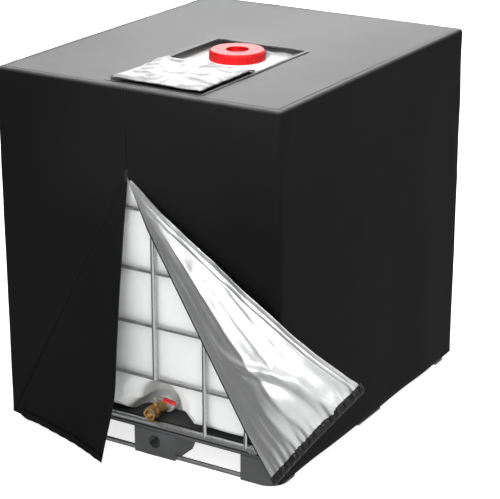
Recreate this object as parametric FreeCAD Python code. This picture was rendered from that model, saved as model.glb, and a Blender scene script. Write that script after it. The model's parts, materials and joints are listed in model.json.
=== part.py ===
"""Intermediate bulk container of 1000 litres, standing in its zip-up protective cover.

A blow-moulded bottle stands on a plastic pallet inside a welded cage of galvanised tube. A brass ball valve
is screwed to the bottle's bottom outlet. A lined fabric cover hangs over everything, its front unzipped.
Millimetres. +Z is up, -Y is the front with the valve, +X is to the right seen from the front.
The origin is on the floor at the middle of the pallet. One STEP file is written for each separate piece.
"""
import FreeCAD
import Part

import math
import os

V = FreeCAD.Vector
X_AXIS = V(1, 0, 0)
Y_AXIS = V(0, 1, 0)
Z_AXIS = V(0, 0, 1)

# ---- Driving dimensions -------------------------------------------------------------------------------
# Footprint and height of the bare container
width = 992.0              # x, over the cage and the pallet
length = 1192.0            # y, over the cage and the pallet
height = 1172.0            # floor to the top of the cage
fit_gap = 0.3              # clearance between pieces that slot together
screw_gap = 0.05           # around a screw, a stem or a tube in the hole or notch that takes it

# Pallet
skid_tube = 15.0           # diameter of the floor frame's tube
skid_inset = 6.5           # from the pallet's outline to the tube
skid_bend = 60.0           # bend radius at the frame's corners, on the tube's centreline
foot_height = 84.0
foot_width = 150.0
foot_depth = 130.0
foot_wall = 6.0
centre_extra = 14.0        # how much further the centre foot reaches to each side
fork_chamfer = 30.0        # slanted inner lower edge that guides a fork
middle_x = 53.0            # the middle feet and the runner stand to the right of the centre
socket_radius = 22.0       # round hole in the front and back feet
socket_height = 48.0
flange_thickness = 9.0     # outer edge of the deck, under the cage
tray_thickness = 22.0      # middle of the deck, under the bottle
deck_corner = 62.0
deck_inset = 2.0           # from the pallet's outline to the flange's edge
tray_inset = 41.0          # from the pallet's outline to the raised tray
tray_corner = 45.0
pocket_depth = 14.0        # lightening pockets under the tray
pocket_rib = 9.0
pocket_margin = 25.0       # from the tray's edge to the pockets
pockets_x = 5
pockets_y = 6
foot_screw_shank = 3.0     # radius
foot_screw_head = 6.0      # radius
foot_screw_length = 34.0
foot_screw_edge = 27.0     # from the pallet's outline to the row of screws
foot_screw_end = 15.0      # from a foot's inner end to its nearest screw
foot_screw_cap = 3.0       # height of the head
foot_screw_slot = 1.6
post_wall = 4.0            # plastic around a screw inside a foot

# Cage
rail_tube = 22.0           # base rail
top_tube = 20.0            # top rail
hoop_tube = 12.0
upright_tube = 15.0
tube_wall = 1.2
cage_corner = 62.0         # bend radius of every ring, on the outermost tube's centreline
hoop_levels = [257.0, 430.0, 606.0, 799.0, 979.0]
hoop_seat = 4.5            # how far a hoop lies inside the uprights' centreline
front_uprights = [-386.0, -252.0, -119.0, 55.0, 235.0, 382.0]
valve_upright = 55.0       # this one stops above the valve
back_uprights = [-386.0, -246.0, -88.0, 88.0, 246.0, 386.0]
side_uprights = [-480.0, -345.0, -207.0, -69.0, 69.0, 207.0, 345.0, 480.0]
ring_slit = 0.6            # where the two ends of a bent ring meet at the back
top_bar_tube = 18.0
top_bars_y = [-305.0, 290.0]
top_bar_drop = 12.0        # below the top rail's centreline
bar_screw_radius = 3.5
bar_screw_inset = 12.0     # from the top rail to the screw
bar_screw_length = 6.0
bar_screw_flats = 12.0
bar_screw_cap = 4.0        # height of the head
clamp_width = 28.0
clamp_metal = 2.4
clamp_tab = 15.0
clamp_screw_shank = 2.5
clamp_screw_head = 5.0
clamp_screw_cap = 3.0
clamp_lip = 7.0            # how far the strap's outer end comes down from the rail's middle
clamp_play = 0.1
clamps_x = [-408.0, 408.0]
clamps_y = [-276.0, 276.0]

# Bottle
bottle_gap = 10.0          # between the bottle and the cage's outline, less the tubes
bottle_wall = 3.0
bottle_corner = 70.0
bottle_edge = 35.0         # rounding of the top and bottom edges
bottle_top = 1132.0
dome_half = [330.0, 275.0]  # raised middle of the bottle's top, between the two bars
dome_y = -8.0
dome_rise = 9.0
dome_corner = 70.0
dome_round = 6.0
recess_x = 55.0            # middle of the arch over the valve
recess_half = 80.0
recess_spring = 159.0      # height where the arch begins
recess_depth = 110.0
recess_round = 20.0
lid_x = 22.0
lid_y = -48.0
neck_radius = 80.0
neck_bore = 75.0
neck_height = 25.0         # over the dome
neck_bead = 1.6            # how far the bead stands out from the neck
bead_width = 4.0
bead_drop = 12.0           # from the neck's rim to the bead's underside
collar_radius = 92.0
collar_height = 8.0
wall_zone = 32.0           # the bottle's solid is parted this far inside its side and back walls
plate_zone = 10.0          # and this far inside its bottom, its top and its recess
mouth_half = 51.0          # and this far from the neck's axis

# Lid
lid_radius = 90.0
lid_wall = 3.2
lid_top = 1180.0
lid_chamfer = 6.4
lid_gap = 0.8              # from the collar to the skirt, screwed down
lid_recess_radius = 37.0
lid_recess_depth = 14.0
lid_recess_wall = 4.0
lid_scallops = 36
scallop_radius = 3.5
scallop_bite = 1.0
scallop_rim = 5.0          # plain band above and below the scallops
seal_thickness = 3.6
seal_gap = 0.1             # between the seal and the neck's rim
lid_roof_gap = 0.3
seal_outer = 81.5
seal_inner = 74.0

# Outlet and ball valve
valve_x = 34.0
valve_z = 135.5
valve_front = -594.0       # y of the open end
thread_radius = 15.15      # minor radius of the 1 inch pipe thread
thread_depth = 18.0
hex_flats = 40.0
front_hex = 20.0
barrel_radius = 22.0
hex_round = 2.6            # from the flats to the turned edge of the hexagon
cap_thread_depth = 3.0     # wall outside the end cap's thread
ball_radius = 17.0
flow_radius = 12.5
seat_thickness = 5.0
seat_outer = 18.4
seat_offset = 10.5         # from the ball's centre to a seat's inner face
ball_from_front = 36.0
cap_spigot = 6.4
cap_hex = 14.0
cap_web = 4.4
boss_radius = 10.0
boss_top = 27.0            # over the valve's axis
stem_radius = 4.9
stem_top = 46.0
packing_outer = 7.0
packing_length = 7.0
gland_flats = 17.0
gland_thickness = 7.0
lever_metal = 3.0
lever_width = 13.0
lever_reach = 68.0
lever_rise = 8.0
lever_level = 37.0         # underside of the hub over the valve's axis
lever_heel = 10.0          # from the stem to the hub's end
lever_bend = [9.0, 17.0, 26.0]     # where the lever rises, levels off and dips again
lever_dip = 1.5
grip_start = 32.0
grip_wall = 1.6
knob_extra = 1.0           # how far the grip's tip stands over its sleeve
knob_round = 2.2
slot_floor = 12.6          # over the valve's axis, where the stem's tang ends in the ball
slot_half = 2.5
tang_half = [2.4, 4.0]
tang_rise = 4.3
ball_bore_inset = 0.5
ball_play = 0.02
seat_play = 0.1
nut_flats = 12.0
nut_thickness = 5.5
spout_radius = 24.0
spout_bore = 19.0
spout_length = 25.0
adaptor_radius = 29.0
adaptor_neck = 19.0        # radius between the skirt and the valve
adaptor_nose = 15.0
gasket_thickness = 1.8
adaptor_gap = 3.0          # between the adaptor's skirt and the bottle
adaptor_shoulder = 8.0
adaptor_bore = 10.0
adaptor_notches = 6
notch_radius = 4.0
notch_out = 2.0            # from the skirt to a notch's middle
notch_start = 1.0          # how far the notches run into the shoulder
nose_gap = 0.1

# Cover
cloth = 2.0
seam_strip = 6.0           # of the front panel, left beside each fold line
slider_strip = [4.0, 8.0]  # of the front panel, left beside and below the slider
cover_half_x = 500.0       # inside of the cover
cover_half_y = 600.0
cover_hem = 20.0           # bottom edge above the floor
cover_top = 1174.0         # inside of the top panel
window_x = [-112.0, 215.0]
window_y = [-560.0, 50.0]
window_fold_y = -256.0     # the flap is unzipped and folded forward from here
binding_width = 12.0
binding_thickness = 1.0
flap_gap = 1.5
flap_inset = [3.0, 6.0]    # from the window's edges to the folded flap's
zip_x = -23.0
zip_open_z = 904.0         # the slider stands here
zip_slot = 20.0
zip_end = 8.0              # from the top panel down to the zip's end
teeth_end = 10.0
teeth_start = 4.0          # over the slider's lower end
tape_start = 2.0           # below the slider's lower end
chain_width = 7.0
chain_gap = 2.8            # between the two rows of teeth, where the slider's divider passes
chain_thickness = 3.0
tape_thickness = 1.0
slider_size = [11.0, 9.0, 20.0]
slider_round = 1.5
divider_drop = 2.5
pivot_stand = 2.6          # from the slider's face to the pull's pivot
bridge_half = 3.6          # half the height of the gap under the bridge
bridge_bar = 1.5
pull_size = [8.0, 2.0, 30.0]
pull_gap = 1.3
pull_crown = 2.2           # from the pivot to the top of the pull
pull_eye = 12.0            # from the pivot down to the end of the pull's eye
flap_cloth = 3.0
left_flap_layer = 4.0      # gap from the front panel to a flap's middle plane
right_flap_layer = 10.0
left_flap_open = 20.0      # degrees that the left flap stands out
flap_apex = 34.0           # the flaps begin this far below the slider
flap_side_inset = 3.0
flap_lift = 2.0            # from the cover's hem up to a flap's
fold_inset = 5.0           # from the cover's corner to the end of a fold line
edge_tape = 13.0           # width of the zip's tape on a flap
tape_end = 10.0            # from a flap's corner to the tape's end
right_tip = [735.0, 416.0]     # x and z of the right flap's free corner, folded back
right_heel = [505.0, 26.0]     # x and z where its hem starts, at the cover's corner

# ---- Sizes that follow from them ----------------------------------------------------------------------
half_x = width / 2
half_y = length / 2
deck_under = foot_height
deck_flange = deck_under + flange_thickness
deck_top = deck_under + tray_thickness
rail_z = deck_flange + rail_tube / 2
rail_half = [half_x - rail_tube / 2, half_y - rail_tube / 2]
top_z = height - top_tube / 2
upright_plane = [half_x - upright_tube / 2, half_y - upright_tube / 2]
hoop_half = [upright_plane[0] - hoop_seat, upright_plane[1] - hoop_seat]
bottle_half = [hoop_half[0] - hoop_tube / 2 - bottle_gap / 2, hoop_half[1] - hoop_tube / 2 - bottle_gap / 2]
recess_back = -bottle_half[1] + recess_depth
neck_base = bottle_top + dome_rise
neck_top = neck_base + neck_height
ball_y = valve_front + ball_from_front
spout_end = recess_back - spout_length
valve_back = ball_y + seat_offset + seat_thickness + cap_spigot + cap_hex


def made(shape, name):
    """Writes one piece, after taking away the seams that the booleans left."""
    clean = shape.removeSplitter()
    if not clean.isValid() or clean.Volume <= 0:
        clean = shape
    clean.exportStep("parts/" + name + ".step")
    print(f"{name:24s} solids {len(clean.Solids):3d}  litres {clean.Volume / 1e6:8.4f}", clean.isValid())


def box(x0, x1, y0, y1, z0, z1):
    return Part.makeBox(x1 - x0, y1 - y0, z1 - z0, V(x0, y0, z0))


def fused(shapes):
    shapes = list(shapes)
    return shapes[0].multiFuse(shapes[1:]) if len(shapes) > 1 else shapes[0]


def group(shapes):
    """Several separate solids as one piece's shape."""
    return Part.makeCompound([s for shape in shapes for s in shape.Solids])


def rounded_outline(hx, hy, r, z, slit=0.0):
    """A rectangle of half sizes hx and hy with round corners, as edges that start at the back's middle."""
    def bend(cx, cy, a):
        turns = (a, a + math.pi / 4, a + math.pi / 2)
        points = [V(cx + r * math.cos(t), cy + r * math.sin(t), z) for t in turns]
        return Part.Arc(*points).toShape()

    def run(a, b):
        return Part.LineSegment(V(a[0], a[1], z), V(b[0], b[1], z)).toShape()

    ix, iy = hx - r, hy - r
    return [
        run((-slit / 2, hy), (-ix, hy)), bend(-ix, iy, math.pi / 2),
        run((-hx, iy), (-hx, -iy)), bend(-ix, -iy, math.pi),
        run((-ix, -hy), (ix, -hy)), bend(ix, -iy, 1.5 * math.pi),
        run((hx, -iy), (hx, iy)), bend(ix, iy, 0.0),
        run((ix, hy), (slit / 2, hy)),
    ]


def rounded_prism(hx, hy, r, z0, z1):
    wire = Part.Wire(rounded_outline(hx, hy, r, z0))
    return Part.Face(wire).extrude(V(0, 0, z1 - z0))


def ring(half, bend, z, radius, slit=ring_slit):
    """A rod bent into a rectangular ring, with its two ends a slit apart at the back."""
    path = Part.Wire(rounded_outline(half[0], half[1], bend, z, slit))
    start = V(-slit / 2, half[1], z)
    circle = Part.Wire(Part.makeCircle(radius, start, V(-1, 0, 0)))
    return path.makePipeShell([circle], True, False)


def bent_tube(half, bend, z, diameter, wall=tube_wall):
    return ring(half, bend, z, diameter / 2).cut(ring(half, bend, z, diameter / 2 - wall))


def straight_tube(start, direction, long, diameter, wall=tube_wall):
    outer = Part.makeCylinder(diameter / 2, long, start, direction)
    return outer.cut(Part.makeCylinder(diameter / 2 - wall, long, start, direction))


def hexagon(flats, y0, y1, x=valve_x, z=valve_z):
    """A hexagonal bar along Y, with a flat on top."""
    r = flats / math.sqrt(3)
    turns = [math.radians(60 * i) for i in range(7)]
    corners = [V(x + r * math.cos(a), y0, z + r * math.sin(a)) for a in turns]
    return Part.Face(Part.makePolygon(corners)).extrude(V(0, y1 - y0, 0))


def upright_nut(flats, x, y, z0, z1):
    """A hexagonal bar along Z."""
    r = flats / math.sqrt(3)
    turns = [math.radians(60 * i) for i in range(7)]
    corners = [V(x + r * math.cos(a), y + r * math.sin(a), z0) for a in turns]
    return Part.Face(Part.makePolygon(corners)).extrude(V(0, 0, z1 - z0))


def along_y(radius, y0, y1, x=valve_x, z=valve_z):
    return Part.makeCylinder(radius, y1 - y0, V(x, y0, z), Y_AXIS)


def along_z(radius, z0, z1, x, y):
    return Part.makeCylinder(radius, z1 - z0, V(x, y, z0), Z_AXIS)


# ---- Pallet ---------------------------------------------------------------------------------------------
skid_half = [half_x - skid_inset - skid_tube / 2, half_y - skid_inset - skid_tube / 2]
skid_z = skid_tube / 2


def skid_frame():
    """The bent tube that lies on the floor around the feet."""
    return bent_tube(skid_half, skid_bend, skid_z, skid_tube)


def skid_runner():
    """The straight tube from front to back under the middle feet, ended against the frame."""
    reach = skid_half[1]
    tube = straight_tube(V(middle_x, -reach, skid_z), Y_AXIS, 2 * reach, skid_tube)
    return tube.cut(ring(skid_half, skid_bend, skid_z, skid_tube / 2 + screw_gap))


def skid_clearance():
    """What the feet leave free for the floor frame and its runner."""
    radius = skid_tube / 2 + fit_gap
    runner = Part.makeCylinder(radius, 2 * skid_half[1], V(middle_x, -skid_half[1], skid_z), Y_AXIS)
    return [ring(skid_half, skid_bend, skid_z, radius), runner]


def foot_block(x0, x1, y0, y1, chamfered, shape=None):
    """A hollow moulded foot, open underneath. chamfered names the sides whose lower edge slants for a fork."""
    body = box(x0, x1, y0, y1, 0, foot_height)
    if shape is not None:
        body = body.common(shape)
    inner = box(x0 + foot_wall, x1 - foot_wall, y0 + foot_wall, y1 - foot_wall, -1, foot_height - foot_wall)
    if shape is not None:
        inner = inner.common(rounded_prism(half_x - foot_wall, half_y - foot_wall, deck_corner - foot_wall, -1,
                                           foot_height))
    body = body.cut(inner)
    c = fork_chamfer
    for side in chamfered:
        if side in "+x-x":
            s = 1 if side == "+x" else -1
            face_x = x1 if s > 0 else x0
            wedge = Part.makePolygon([V(face_x - s * c, y0 - 1, -1), V(face_x + s, y0 - 1, -1),
                                      V(face_x + s, y0 - 1, c), V(face_x - s * c, y0 - 1, -1)])
            body = body.cut(Part.Face(wedge).extrude(V(0, y1 - y0 + 2, 0)))
        else:
            s = 1 if side == "+y" else -1
            face_y = y1 if s > 0 else y0
            wedge = Part.makePolygon([V(x0 - 1, face_y - s * c, -1), V(x0 - 1, face_y + s, -1),
                                      V(x0 - 1, face_y + s, c), V(x0 - 1, face_y - s * c, -1)])
            body = body.cut(Part.Face(wedge).extrude(V(x1 - x0 + 2, 0, 0)))
    return body


def foot_screws_at():
    """x and y of every screw that holds a foot to the deck."""
    edge = foot_screw_edge
    reach = foot_depth - foot_screw_end
    w = foot_width / 2 - 3 * foot_wall
    places = []
    for sx in (-1, 1):
        for sy in (-1, 1):
            places.append((sx * (half_x - edge), sy * (half_y - reach)))
            places.append((sx * (half_x - reach), sy * (half_y - edge)))
    for sy in (-1, 1):
        places += [(middle_x - w, sy * (half_y - edge)), (middle_x + w, sy * (half_y - edge))]
    for sx in (-1, 1):
        places += [(sx * (half_x - edge), -w), (sx * (half_x - edge), w)]
    return places


def screw_post(x, y):
    """The solid post inside a foot that a screw bites into."""
    low = deck_flange - foot_screw_length - post_wall
    return along_z(foot_screw_shank + post_wall, low, foot_height, x, y)


def screw_hole(x, y):
    return along_z(foot_screw_shank + screw_gap, deck_flange - foot_screw_length - 1, deck_flange + 1, x, y)


def feet():
    """Corner, middle and centre feet by name."""
    outline = rounded_prism(half_x, half_y, deck_corner, 0, foot_height)
    w, d = foot_width / 2, foot_depth
    found = {}
    for sx, nx in ((-1, "left"), (1, "right")):
        for sy, ny in ((-1, "front"), (1, "back")):
            x0, x1 = sorted((sx * half_x, sx * (half_x - d)))
            y0, y1 = sorted((sy * half_y, sy * (half_y - d)))
            sides = ["+y" if sy < 0 else "-y"]
            found[f"foot_{ny}_{nx}"] = foot_block(x0, x1, y0, y1, sides, outline)
    found["foot_front_middle"] = foot_block(middle_x - w, middle_x + w, -half_y, -half_y + d, ["+y"])
    found["foot_back_middle"] = foot_block(middle_x - w, middle_x + w, half_y - d, half_y, ["-y"])
    found["foot_left_middle"] = foot_block(-half_x, -half_x + d, -w, w, ["+x"])
    found["foot_right_middle"] = foot_block(half_x - d, half_x, -w, w, ["-x"])
    for name in ("foot_front_middle", "foot_back_middle"):
        s = -1 if "front" in name else 1
        y0, y1 = sorted((s * half_y, s * (half_y - foot_wall)))
        bore = along_y(socket_radius, y0 - 1, y1 + 1, middle_x, socket_height)
        found[name] = found[name].cut(bore)
    for x, y in foot_screws_at():
        for name, foot in found.items():
            if foot.BoundBox.isInside(V(x, y, foot_height / 2)):
                found[name] = foot.fuse(screw_post(x, y)).cut(screw_hole(x, y))
    centre_half = foot_width / 2 + centre_extra
    closed = box(middle_x - centre_half, middle_x + centre_half, -w, w, 0, foot_height)
    centre_half -= foot_wall
    hollow = box(middle_x - centre_half, middle_x + centre_half, -w + foot_wall, w - foot_wall,
                 skid_tube + foot_wall, foot_height + 1)
    found["foot_centre"] = closed.cut(hollow)
    free = skid_clearance()
    return {name: foot.cut(free[0]).cut(free[1]) for name, foot in found.items()}


def foot_screws():
    shapes = []
    for x, y in foot_screws_at():
        shank = along_z(foot_screw_shank, deck_flange - foot_screw_length, deck_flange, x, y)
        top = deck_flange + foot_screw_cap
        head = along_z(foot_screw_head, deck_flange, top, x, y)
        slot = box(x - foot_screw_head, x + foot_screw_head, y - foot_screw_slot / 2, y + foot_screw_slot / 2,
                   top - foot_screw_slot / 2, top + 1)
        shapes.append(shank.fuse(head).cut(slot))
    return group(shapes)


def pallet_deck():
    """The moulded deck: a flange under the cage, a raised tray under the bottle, and ribs underneath."""
    flange = rounded_prism(half_x - deck_inset, half_y - deck_inset, deck_corner - deck_inset,
                           deck_under, deck_flange)
    tray_x, tray_y = half_x - tray_inset, half_y - tray_inset
    tray = rounded_prism(tray_x, tray_y, tray_corner, deck_under, deck_top)
    deck = flange.fuse(tray)
    inner_x, inner_y = tray_x - pocket_margin, tray_y - pocket_margin
    step_x, step_y = 2 * inner_x / pockets_x, 2 * inner_y / pockets_y
    for i in range(pockets_x):
        for j in range(pockets_y):
            x0, y0 = -inner_x + i * step_x, -inner_y + j * step_y
            rib = pocket_rib / 2
            pocket = box(x0 + rib, x0 + step_x - rib, y0 + rib, y0 + step_y - rib,
                         deck_under - 1, deck_under + pocket_depth)
            deck = deck.cut(pocket)
    for x, y in foot_screws_at():
        deck = deck.cut(screw_hole(x, y))
    for x, y in clamp_screws_at():
        deck = deck.cut(along_z(clamp_screw_shank + screw_gap, deck_under - 1, deck_flange + 1, x, y))
    return deck


# ---- Cage -----------------------------------------------------------------------------------------------
def cage_rings(extra):
    """Every ring of the cage as a solid rod, grown by extra, for notching the uprights."""
    rods = [ring(rail_half, cage_corner, rail_z, rail_tube / 2 + extra),
            ring(rail_half, cage_corner, top_z, top_tube / 2 + extra)]
    rods += [ring(hoop_half, cage_corner, z, hoop_tube / 2 + extra) for z in hoop_levels]
    return rods


def uprights(side, rods):
    """The upright tubes of one side, notched where the rings pass through their inner half."""
    shapes = []
    places = {"front": front_uprights, "back": back_uprights}.get(side, side_uprights)
    for p in places:
        low = hoop_levels[0] if side == "front" and p == valve_upright else rail_z
        x, y = {"front": (p, -upright_plane[1]), "back": (p, upright_plane[1]),
                "left": (-upright_plane[0], p), "right": (upright_plane[0], p)}[side]
        tube = straight_tube(V(x, y, low), Z_AXIS, top_z - low, upright_tube)
        for rod in rods:
            tube = tube.cut(rod)
        shapes.append(max(tube.Solids, key=lambda s: s.Volume) if len(tube.Solids) > 1 else tube)
    return group(shapes)


def top_bar(y):
    """A tube across the top that keeps the bottle down, ended against the top rail."""
    reach = rail_half[0]
    tube = straight_tube(V(-reach, y, top_z - top_bar_drop), X_AXIS, 2 * reach, top_bar_tube)
    tube = tube.cut(ring(rail_half, cage_corner, top_z, top_tube / 2 + screw_gap))
    for sx in (-1, 1):
        hole = along_z(bar_screw_radius + screw_gap, top_z - top_bar_drop, height, sx * bar_screw_x(), y)
        tube = tube.cut(hole)
    return tube


def bar_screw_x():
    return rail_half[0] - top_tube / 2 - bar_screw_inset


def top_bar_screws():
    shapes = []
    for y in top_bars_y:
        for sx in (-1, 1):
            x = sx * bar_screw_x()
            top = top_z - top_bar_drop + top_bar_tube / 2
            shank = along_z(bar_screw_radius, top - bar_screw_length, top, x, y)
            head = upright_nut(bar_screw_flats, x, y, top, top + bar_screw_cap)
            shapes.append(head.fuse(shank))
    return group(shapes)


def clamp_places():
    """(x, y, outward direction) of every clamp that holds the base rail to the deck."""
    places = [(x, s * rail_half[1], V(0, s, 0)) for x in clamps_x for s in (-1, 1)]
    places += [(s * rail_half[0], y, V(s, 0, 0)) for y in clamps_y for s in (-1, 1)]
    return places


def clamp_screws_at():
    inward = rail_tube / 2 + clamp_metal + clamp_tab / 2
    return [(x - out.x * inward, y - out.y * inward) for x, y, out in clamp_places()]


def cage_clamp(x, y, out):
    """A steel strap bent over the base rail, its inner end screwed down on the deck's flange."""
    r0, r1 = rail_tube / 2 + clamp_play, rail_tube / 2 + clamp_metal
    w = clamp_width / 2
    strap = Part.makeCylinder(r1, 2 * w, V(0, -w, rail_z), Y_AXIS)
    strap = strap.cut(box(-2 * r1, 2 * r1, -w, w, rail_z - 2 * r1, rail_z))
    strap = strap.fuse(box(-r1, -r0, -w, w, deck_flange, rail_z))
    strap = strap.fuse(box(r0, r1, -w, w, rail_z - clamp_lip, rail_z))
    strap = strap.fuse(box(-r1 - clamp_tab, -r0, -w, w, deck_flange, deck_flange + clamp_metal))
    strap = strap.cut(Part.makeCylinder(r0, 2 * w, V(0, -w, rail_z), Y_AXIS))
    strap = strap.cut(box(-r0, r0, -w, w, deck_flange - 1, rail_z))
    strap = strap.cut(along_z(clamp_screw_shank + screw_gap, deck_flange - 1, deck_flange + clamp_metal + 1,
                              -r1 - clamp_tab / 2, 0))
    strap.rotate(V(0, 0, 0), Z_AXIS, math.degrees(math.atan2(out.y, out.x)))
    strap.translate(V(x, y, 0))
    return strap


def clamp_screws():
    shapes = []
    for x, y in clamp_screws_at():
        seat = deck_flange + clamp_metal
        shank = along_z(clamp_screw_shank, deck_under, seat, x, y)
        shapes.append(shank.fuse(along_z(clamp_screw_head, seat, seat + clamp_screw_cap, x, y)))
    return group(shapes)


# ---- Bottle and lid -------------------------------------------------------------------------------------
def rounded_box(inset):
    """The bottle's outline, taken in by inset."""
    r = bottle_corner - inset
    body = rounded_prism(bottle_half[0] - inset, bottle_half[1] - inset, r,
                         deck_top + inset, bottle_top - inset)
    edges = [e for e in body.Edges if abs(e.BoundBox.ZMax - e.BoundBox.ZMin) < 1e-6]
    return body.makeFillet(bottle_edge - inset, edges)


def valve_recess(grow):
    """The arched pocket in the bottle's front that the valve stands in."""
    half = recess_half + grow
    y0, y1 = -half_y, recess_back + grow
    low = deck_under
    pocket = box(recess_x - half, recess_x + half, y0, y1, low, recess_spring)
    pocket = pocket.fuse(along_y(half, y0, y1, recess_x, recess_spring)).removeSplitter()
    rear = [e for e in pocket.Edges if e.BoundBox.YMin > y1 - 1e-6 and e.BoundBox.ZMax > low + 1]
    return pocket.makeFillet(recess_round, rear)


def dome(inset):
    """The raised middle of the bottle's top, taken in by inset."""
    body = rounded_prism(dome_half[0] - inset, dome_half[1] - inset, dome_corner - inset,
                         bottle_top - 2 * bottle_wall, neck_base - inset)
    rim = [e for e in body.Edges if e.BoundBox.ZMin > bottle_top]
    body = body.makeFillet(dome_round - inset, rim)
    body.translate(V(0, dome_y, 0))
    return body


def bottle():
    outer = rounded_box(0).cut(valve_recess(0)).fuse(dome(0))
    inner = rounded_box(bottle_wall).cut(valve_recess(bottle_wall)).fuse(dome(bottle_wall))
    collar = along_z(collar_radius, neck_base - 1, neck_base + collar_height, lid_x, lid_y)
    neck = along_z(neck_radius, neck_base - 1, neck_top, lid_x, lid_y)
    bead_low = neck_top - bead_drop
    bead = along_z(neck_radius + neck_bead, bead_low, bead_low + bead_width, lid_x, lid_y)
    spout = along_y(spout_radius, spout_end, recess_back + 1)
    body = outer.fuse([collar, neck, bead, spout]).cut(inner)
    mouth = along_z(neck_bore, bottle_top, neck_top + 1, lid_x, lid_y)
    outlet = along_y(spout_bore, spout_end - 1, recess_back + 2 * bottle_wall)
    body = body.cut(mouth).cut(outlet)
    return group(body.common(cell) for cell in bottle_cells())


def bottle_cells():
    """Boxes that part the bottle's shell into plain walls, so that what is made from them keeps it hollow."""
    x, back, front = bottle_half[0] - wall_zone, bottle_half[1] - wall_zone, recess_back + plate_zone
    low, high = deck_top + plate_zone, bottle_top - plate_zone
    arch, m = recess_half + plate_zone, mouth_half
    arch_top = recess_spring + arch
    cells = [(-half_x, half_x, -half_y, half_y, 0, low), (-x, x, back, half_y, low, high),
             (-half_x, -x, -half_y, half_y, low, high), (x, half_x, -half_y, half_y, low, high),
             (-x, x, -half_y, front, arch_top, high)]
    sides = [-x, recess_x - arch, recess_x + arch, x]
    cells += [(a, b, -half_y, front, low, arch_top) for a, b in zip(sides, sides[1:])]
    for z0, z1 in ((high, neck_base), (neck_base, lid_top)):
        cells += [(-half_x, lid_x - m, -half_y, half_y, z0, z1), (lid_x + m, half_x, -half_y, half_y, z0, z1),
                  (lid_x - m, lid_x + m, -half_y, lid_y - m, z0, z1),
                  (lid_x - m, lid_x + m, lid_y + m, half_y, z0, z1)]
    return [box(*cell) for cell in cells]


def lid_seal():
    low = neck_top + seal_gap
    ring_body = along_z(seal_outer, low, low + seal_thickness, lid_x, lid_y)
    return ring_body.cut(along_z(seal_inner, neck_top, neck_top + 2 * seal_thickness, lid_x, lid_y))


def lid():
    """The screw lid: a skirt with finger scallops, a flat rim and a dished middle."""
    skirt_low = neck_base + collar_height + lid_gap
    cap = along_z(lid_radius, skirt_low, lid_top, lid_x, lid_y)
    top_edge = [e for e in cap.Edges if abs(e.BoundBox.ZMin - lid_top) < 1e-3]
    cap = cap.makeChamfer(lid_chamfer, top_edge)
    under = neck_top + seal_thickness + lid_roof_gap
    cap = cap.cut(along_z(lid_radius - lid_wall, skirt_low - 1, under, lid_x, lid_y))
    floor = lid_top - lid_recess_depth
    dish = along_z(lid_recess_radius + lid_recess_wall, floor - lid_recess_wall, lid_top, lid_x, lid_y)
    cap = cap.fuse(dish).cut(along_z(lid_recess_radius, floor, lid_top + 1, lid_x, lid_y))
    for i in range(lid_scallops):
        a = 2 * math.pi * i / lid_scallops
        r = lid_radius + scallop_radius - scallop_bite
        bite = along_z(scallop_radius, skirt_low + scallop_rim, lid_top - lid_chamfer - scallop_rim,
                       lid_x + r * math.cos(a), lid_y + r * math.sin(a))
        cap = cap.cut(bite)
    return cap


# ---- Outlet and ball valve ------------------------------------------------------------------------------
def outlet_adaptor():
    """The white screw adaptor between the bottle's spout and the brass valve."""
    web_back = spout_end - gasket_thickness
    skirt = along_y(adaptor_radius, web_back, recess_back - adaptor_gap)
    skirt = skirt.cut(along_y(spout_radius + fit_gap, web_back, recess_back))
    shoulder = along_y(adaptor_radius, web_back - adaptor_shoulder, web_back)
    neck = along_y(adaptor_neck, valve_back, web_back - adaptor_shoulder)
    nose = along_y(thread_radius - nose_gap, valve_back - adaptor_nose, valve_back)
    body = fused([skirt, shoulder, neck, nose])
    out = adaptor_radius + notch_out
    for i in range(adaptor_notches):
        a = 2 * math.pi * (i + 0.5) / adaptor_notches
        notch = along_y(notch_radius, web_back - adaptor_shoulder - notch_start, recess_back,
                        valve_x + out * math.cos(a), valve_z + out * math.sin(a))
        body = body.cut(notch)
    return body.cut(along_y(adaptor_bore, valve_back - adaptor_nose - 1, web_back + 1))


def outlet_gasket():
    ring_body = along_y(spout_radius, spout_end - gasket_thickness, spout_end)
    return ring_body.cut(along_y(spout_bore, spout_end - gasket_thickness - 1, spout_end + 1))


def valve_body():
    chamber_y = ball_y - seat_offset - seat_thickness
    cap_y = ball_y + seat_offset + seat_thickness
    hexed = hexagon(hex_flats, valve_front, valve_front + front_hex)
    edge_ring = along_y(hex_flats / 2 + hex_round, valve_front, valve_front + front_hex)
    body = hexed.common(edge_ring).fuse(along_y(barrel_radius, valve_front + front_hex, cap_y + cap_spigot))
    body = body.fuse(along_z(boss_radius, valve_z, valve_z + boss_top, valve_x, ball_y))
    body = body.cut(along_y(thread_radius, valve_front - 1, valve_front + thread_depth))
    body = body.cut(along_y(flow_radius, valve_front, cap_y))
    body = body.cut(along_y(seat_outer + seat_play, chamber_y, cap_y))
    body = body.cut(along_y(barrel_radius - cap_thread_depth, cap_y, cap_y + cap_spigot + 1))
    top = valve_z + boss_top
    body = body.cut(along_z(stem_radius + screw_gap, valve_z, top + 1, valve_x, ball_y))
    return body.cut(along_z(packing_outer + screw_gap, top - packing_length, top + 1, valve_x, ball_y))


def valve_end_cap():
    """The second half of the valve's housing, screwed in behind the ball."""
    cap_y = ball_y + seat_offset + seat_thickness
    spigot = along_y(barrel_radius - cap_thread_depth - screw_gap, cap_y, cap_y + cap_spigot)
    collar = hexagon(hex_flats, cap_y + cap_spigot, valve_back)
    cap = spigot.fuse(collar).cut(along_y(flow_radius, cap_y - 1, cap_y + cap_web + 1))
    return cap.cut(along_y(thread_radius, cap_y + cap_web, valve_back + 1))


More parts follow.
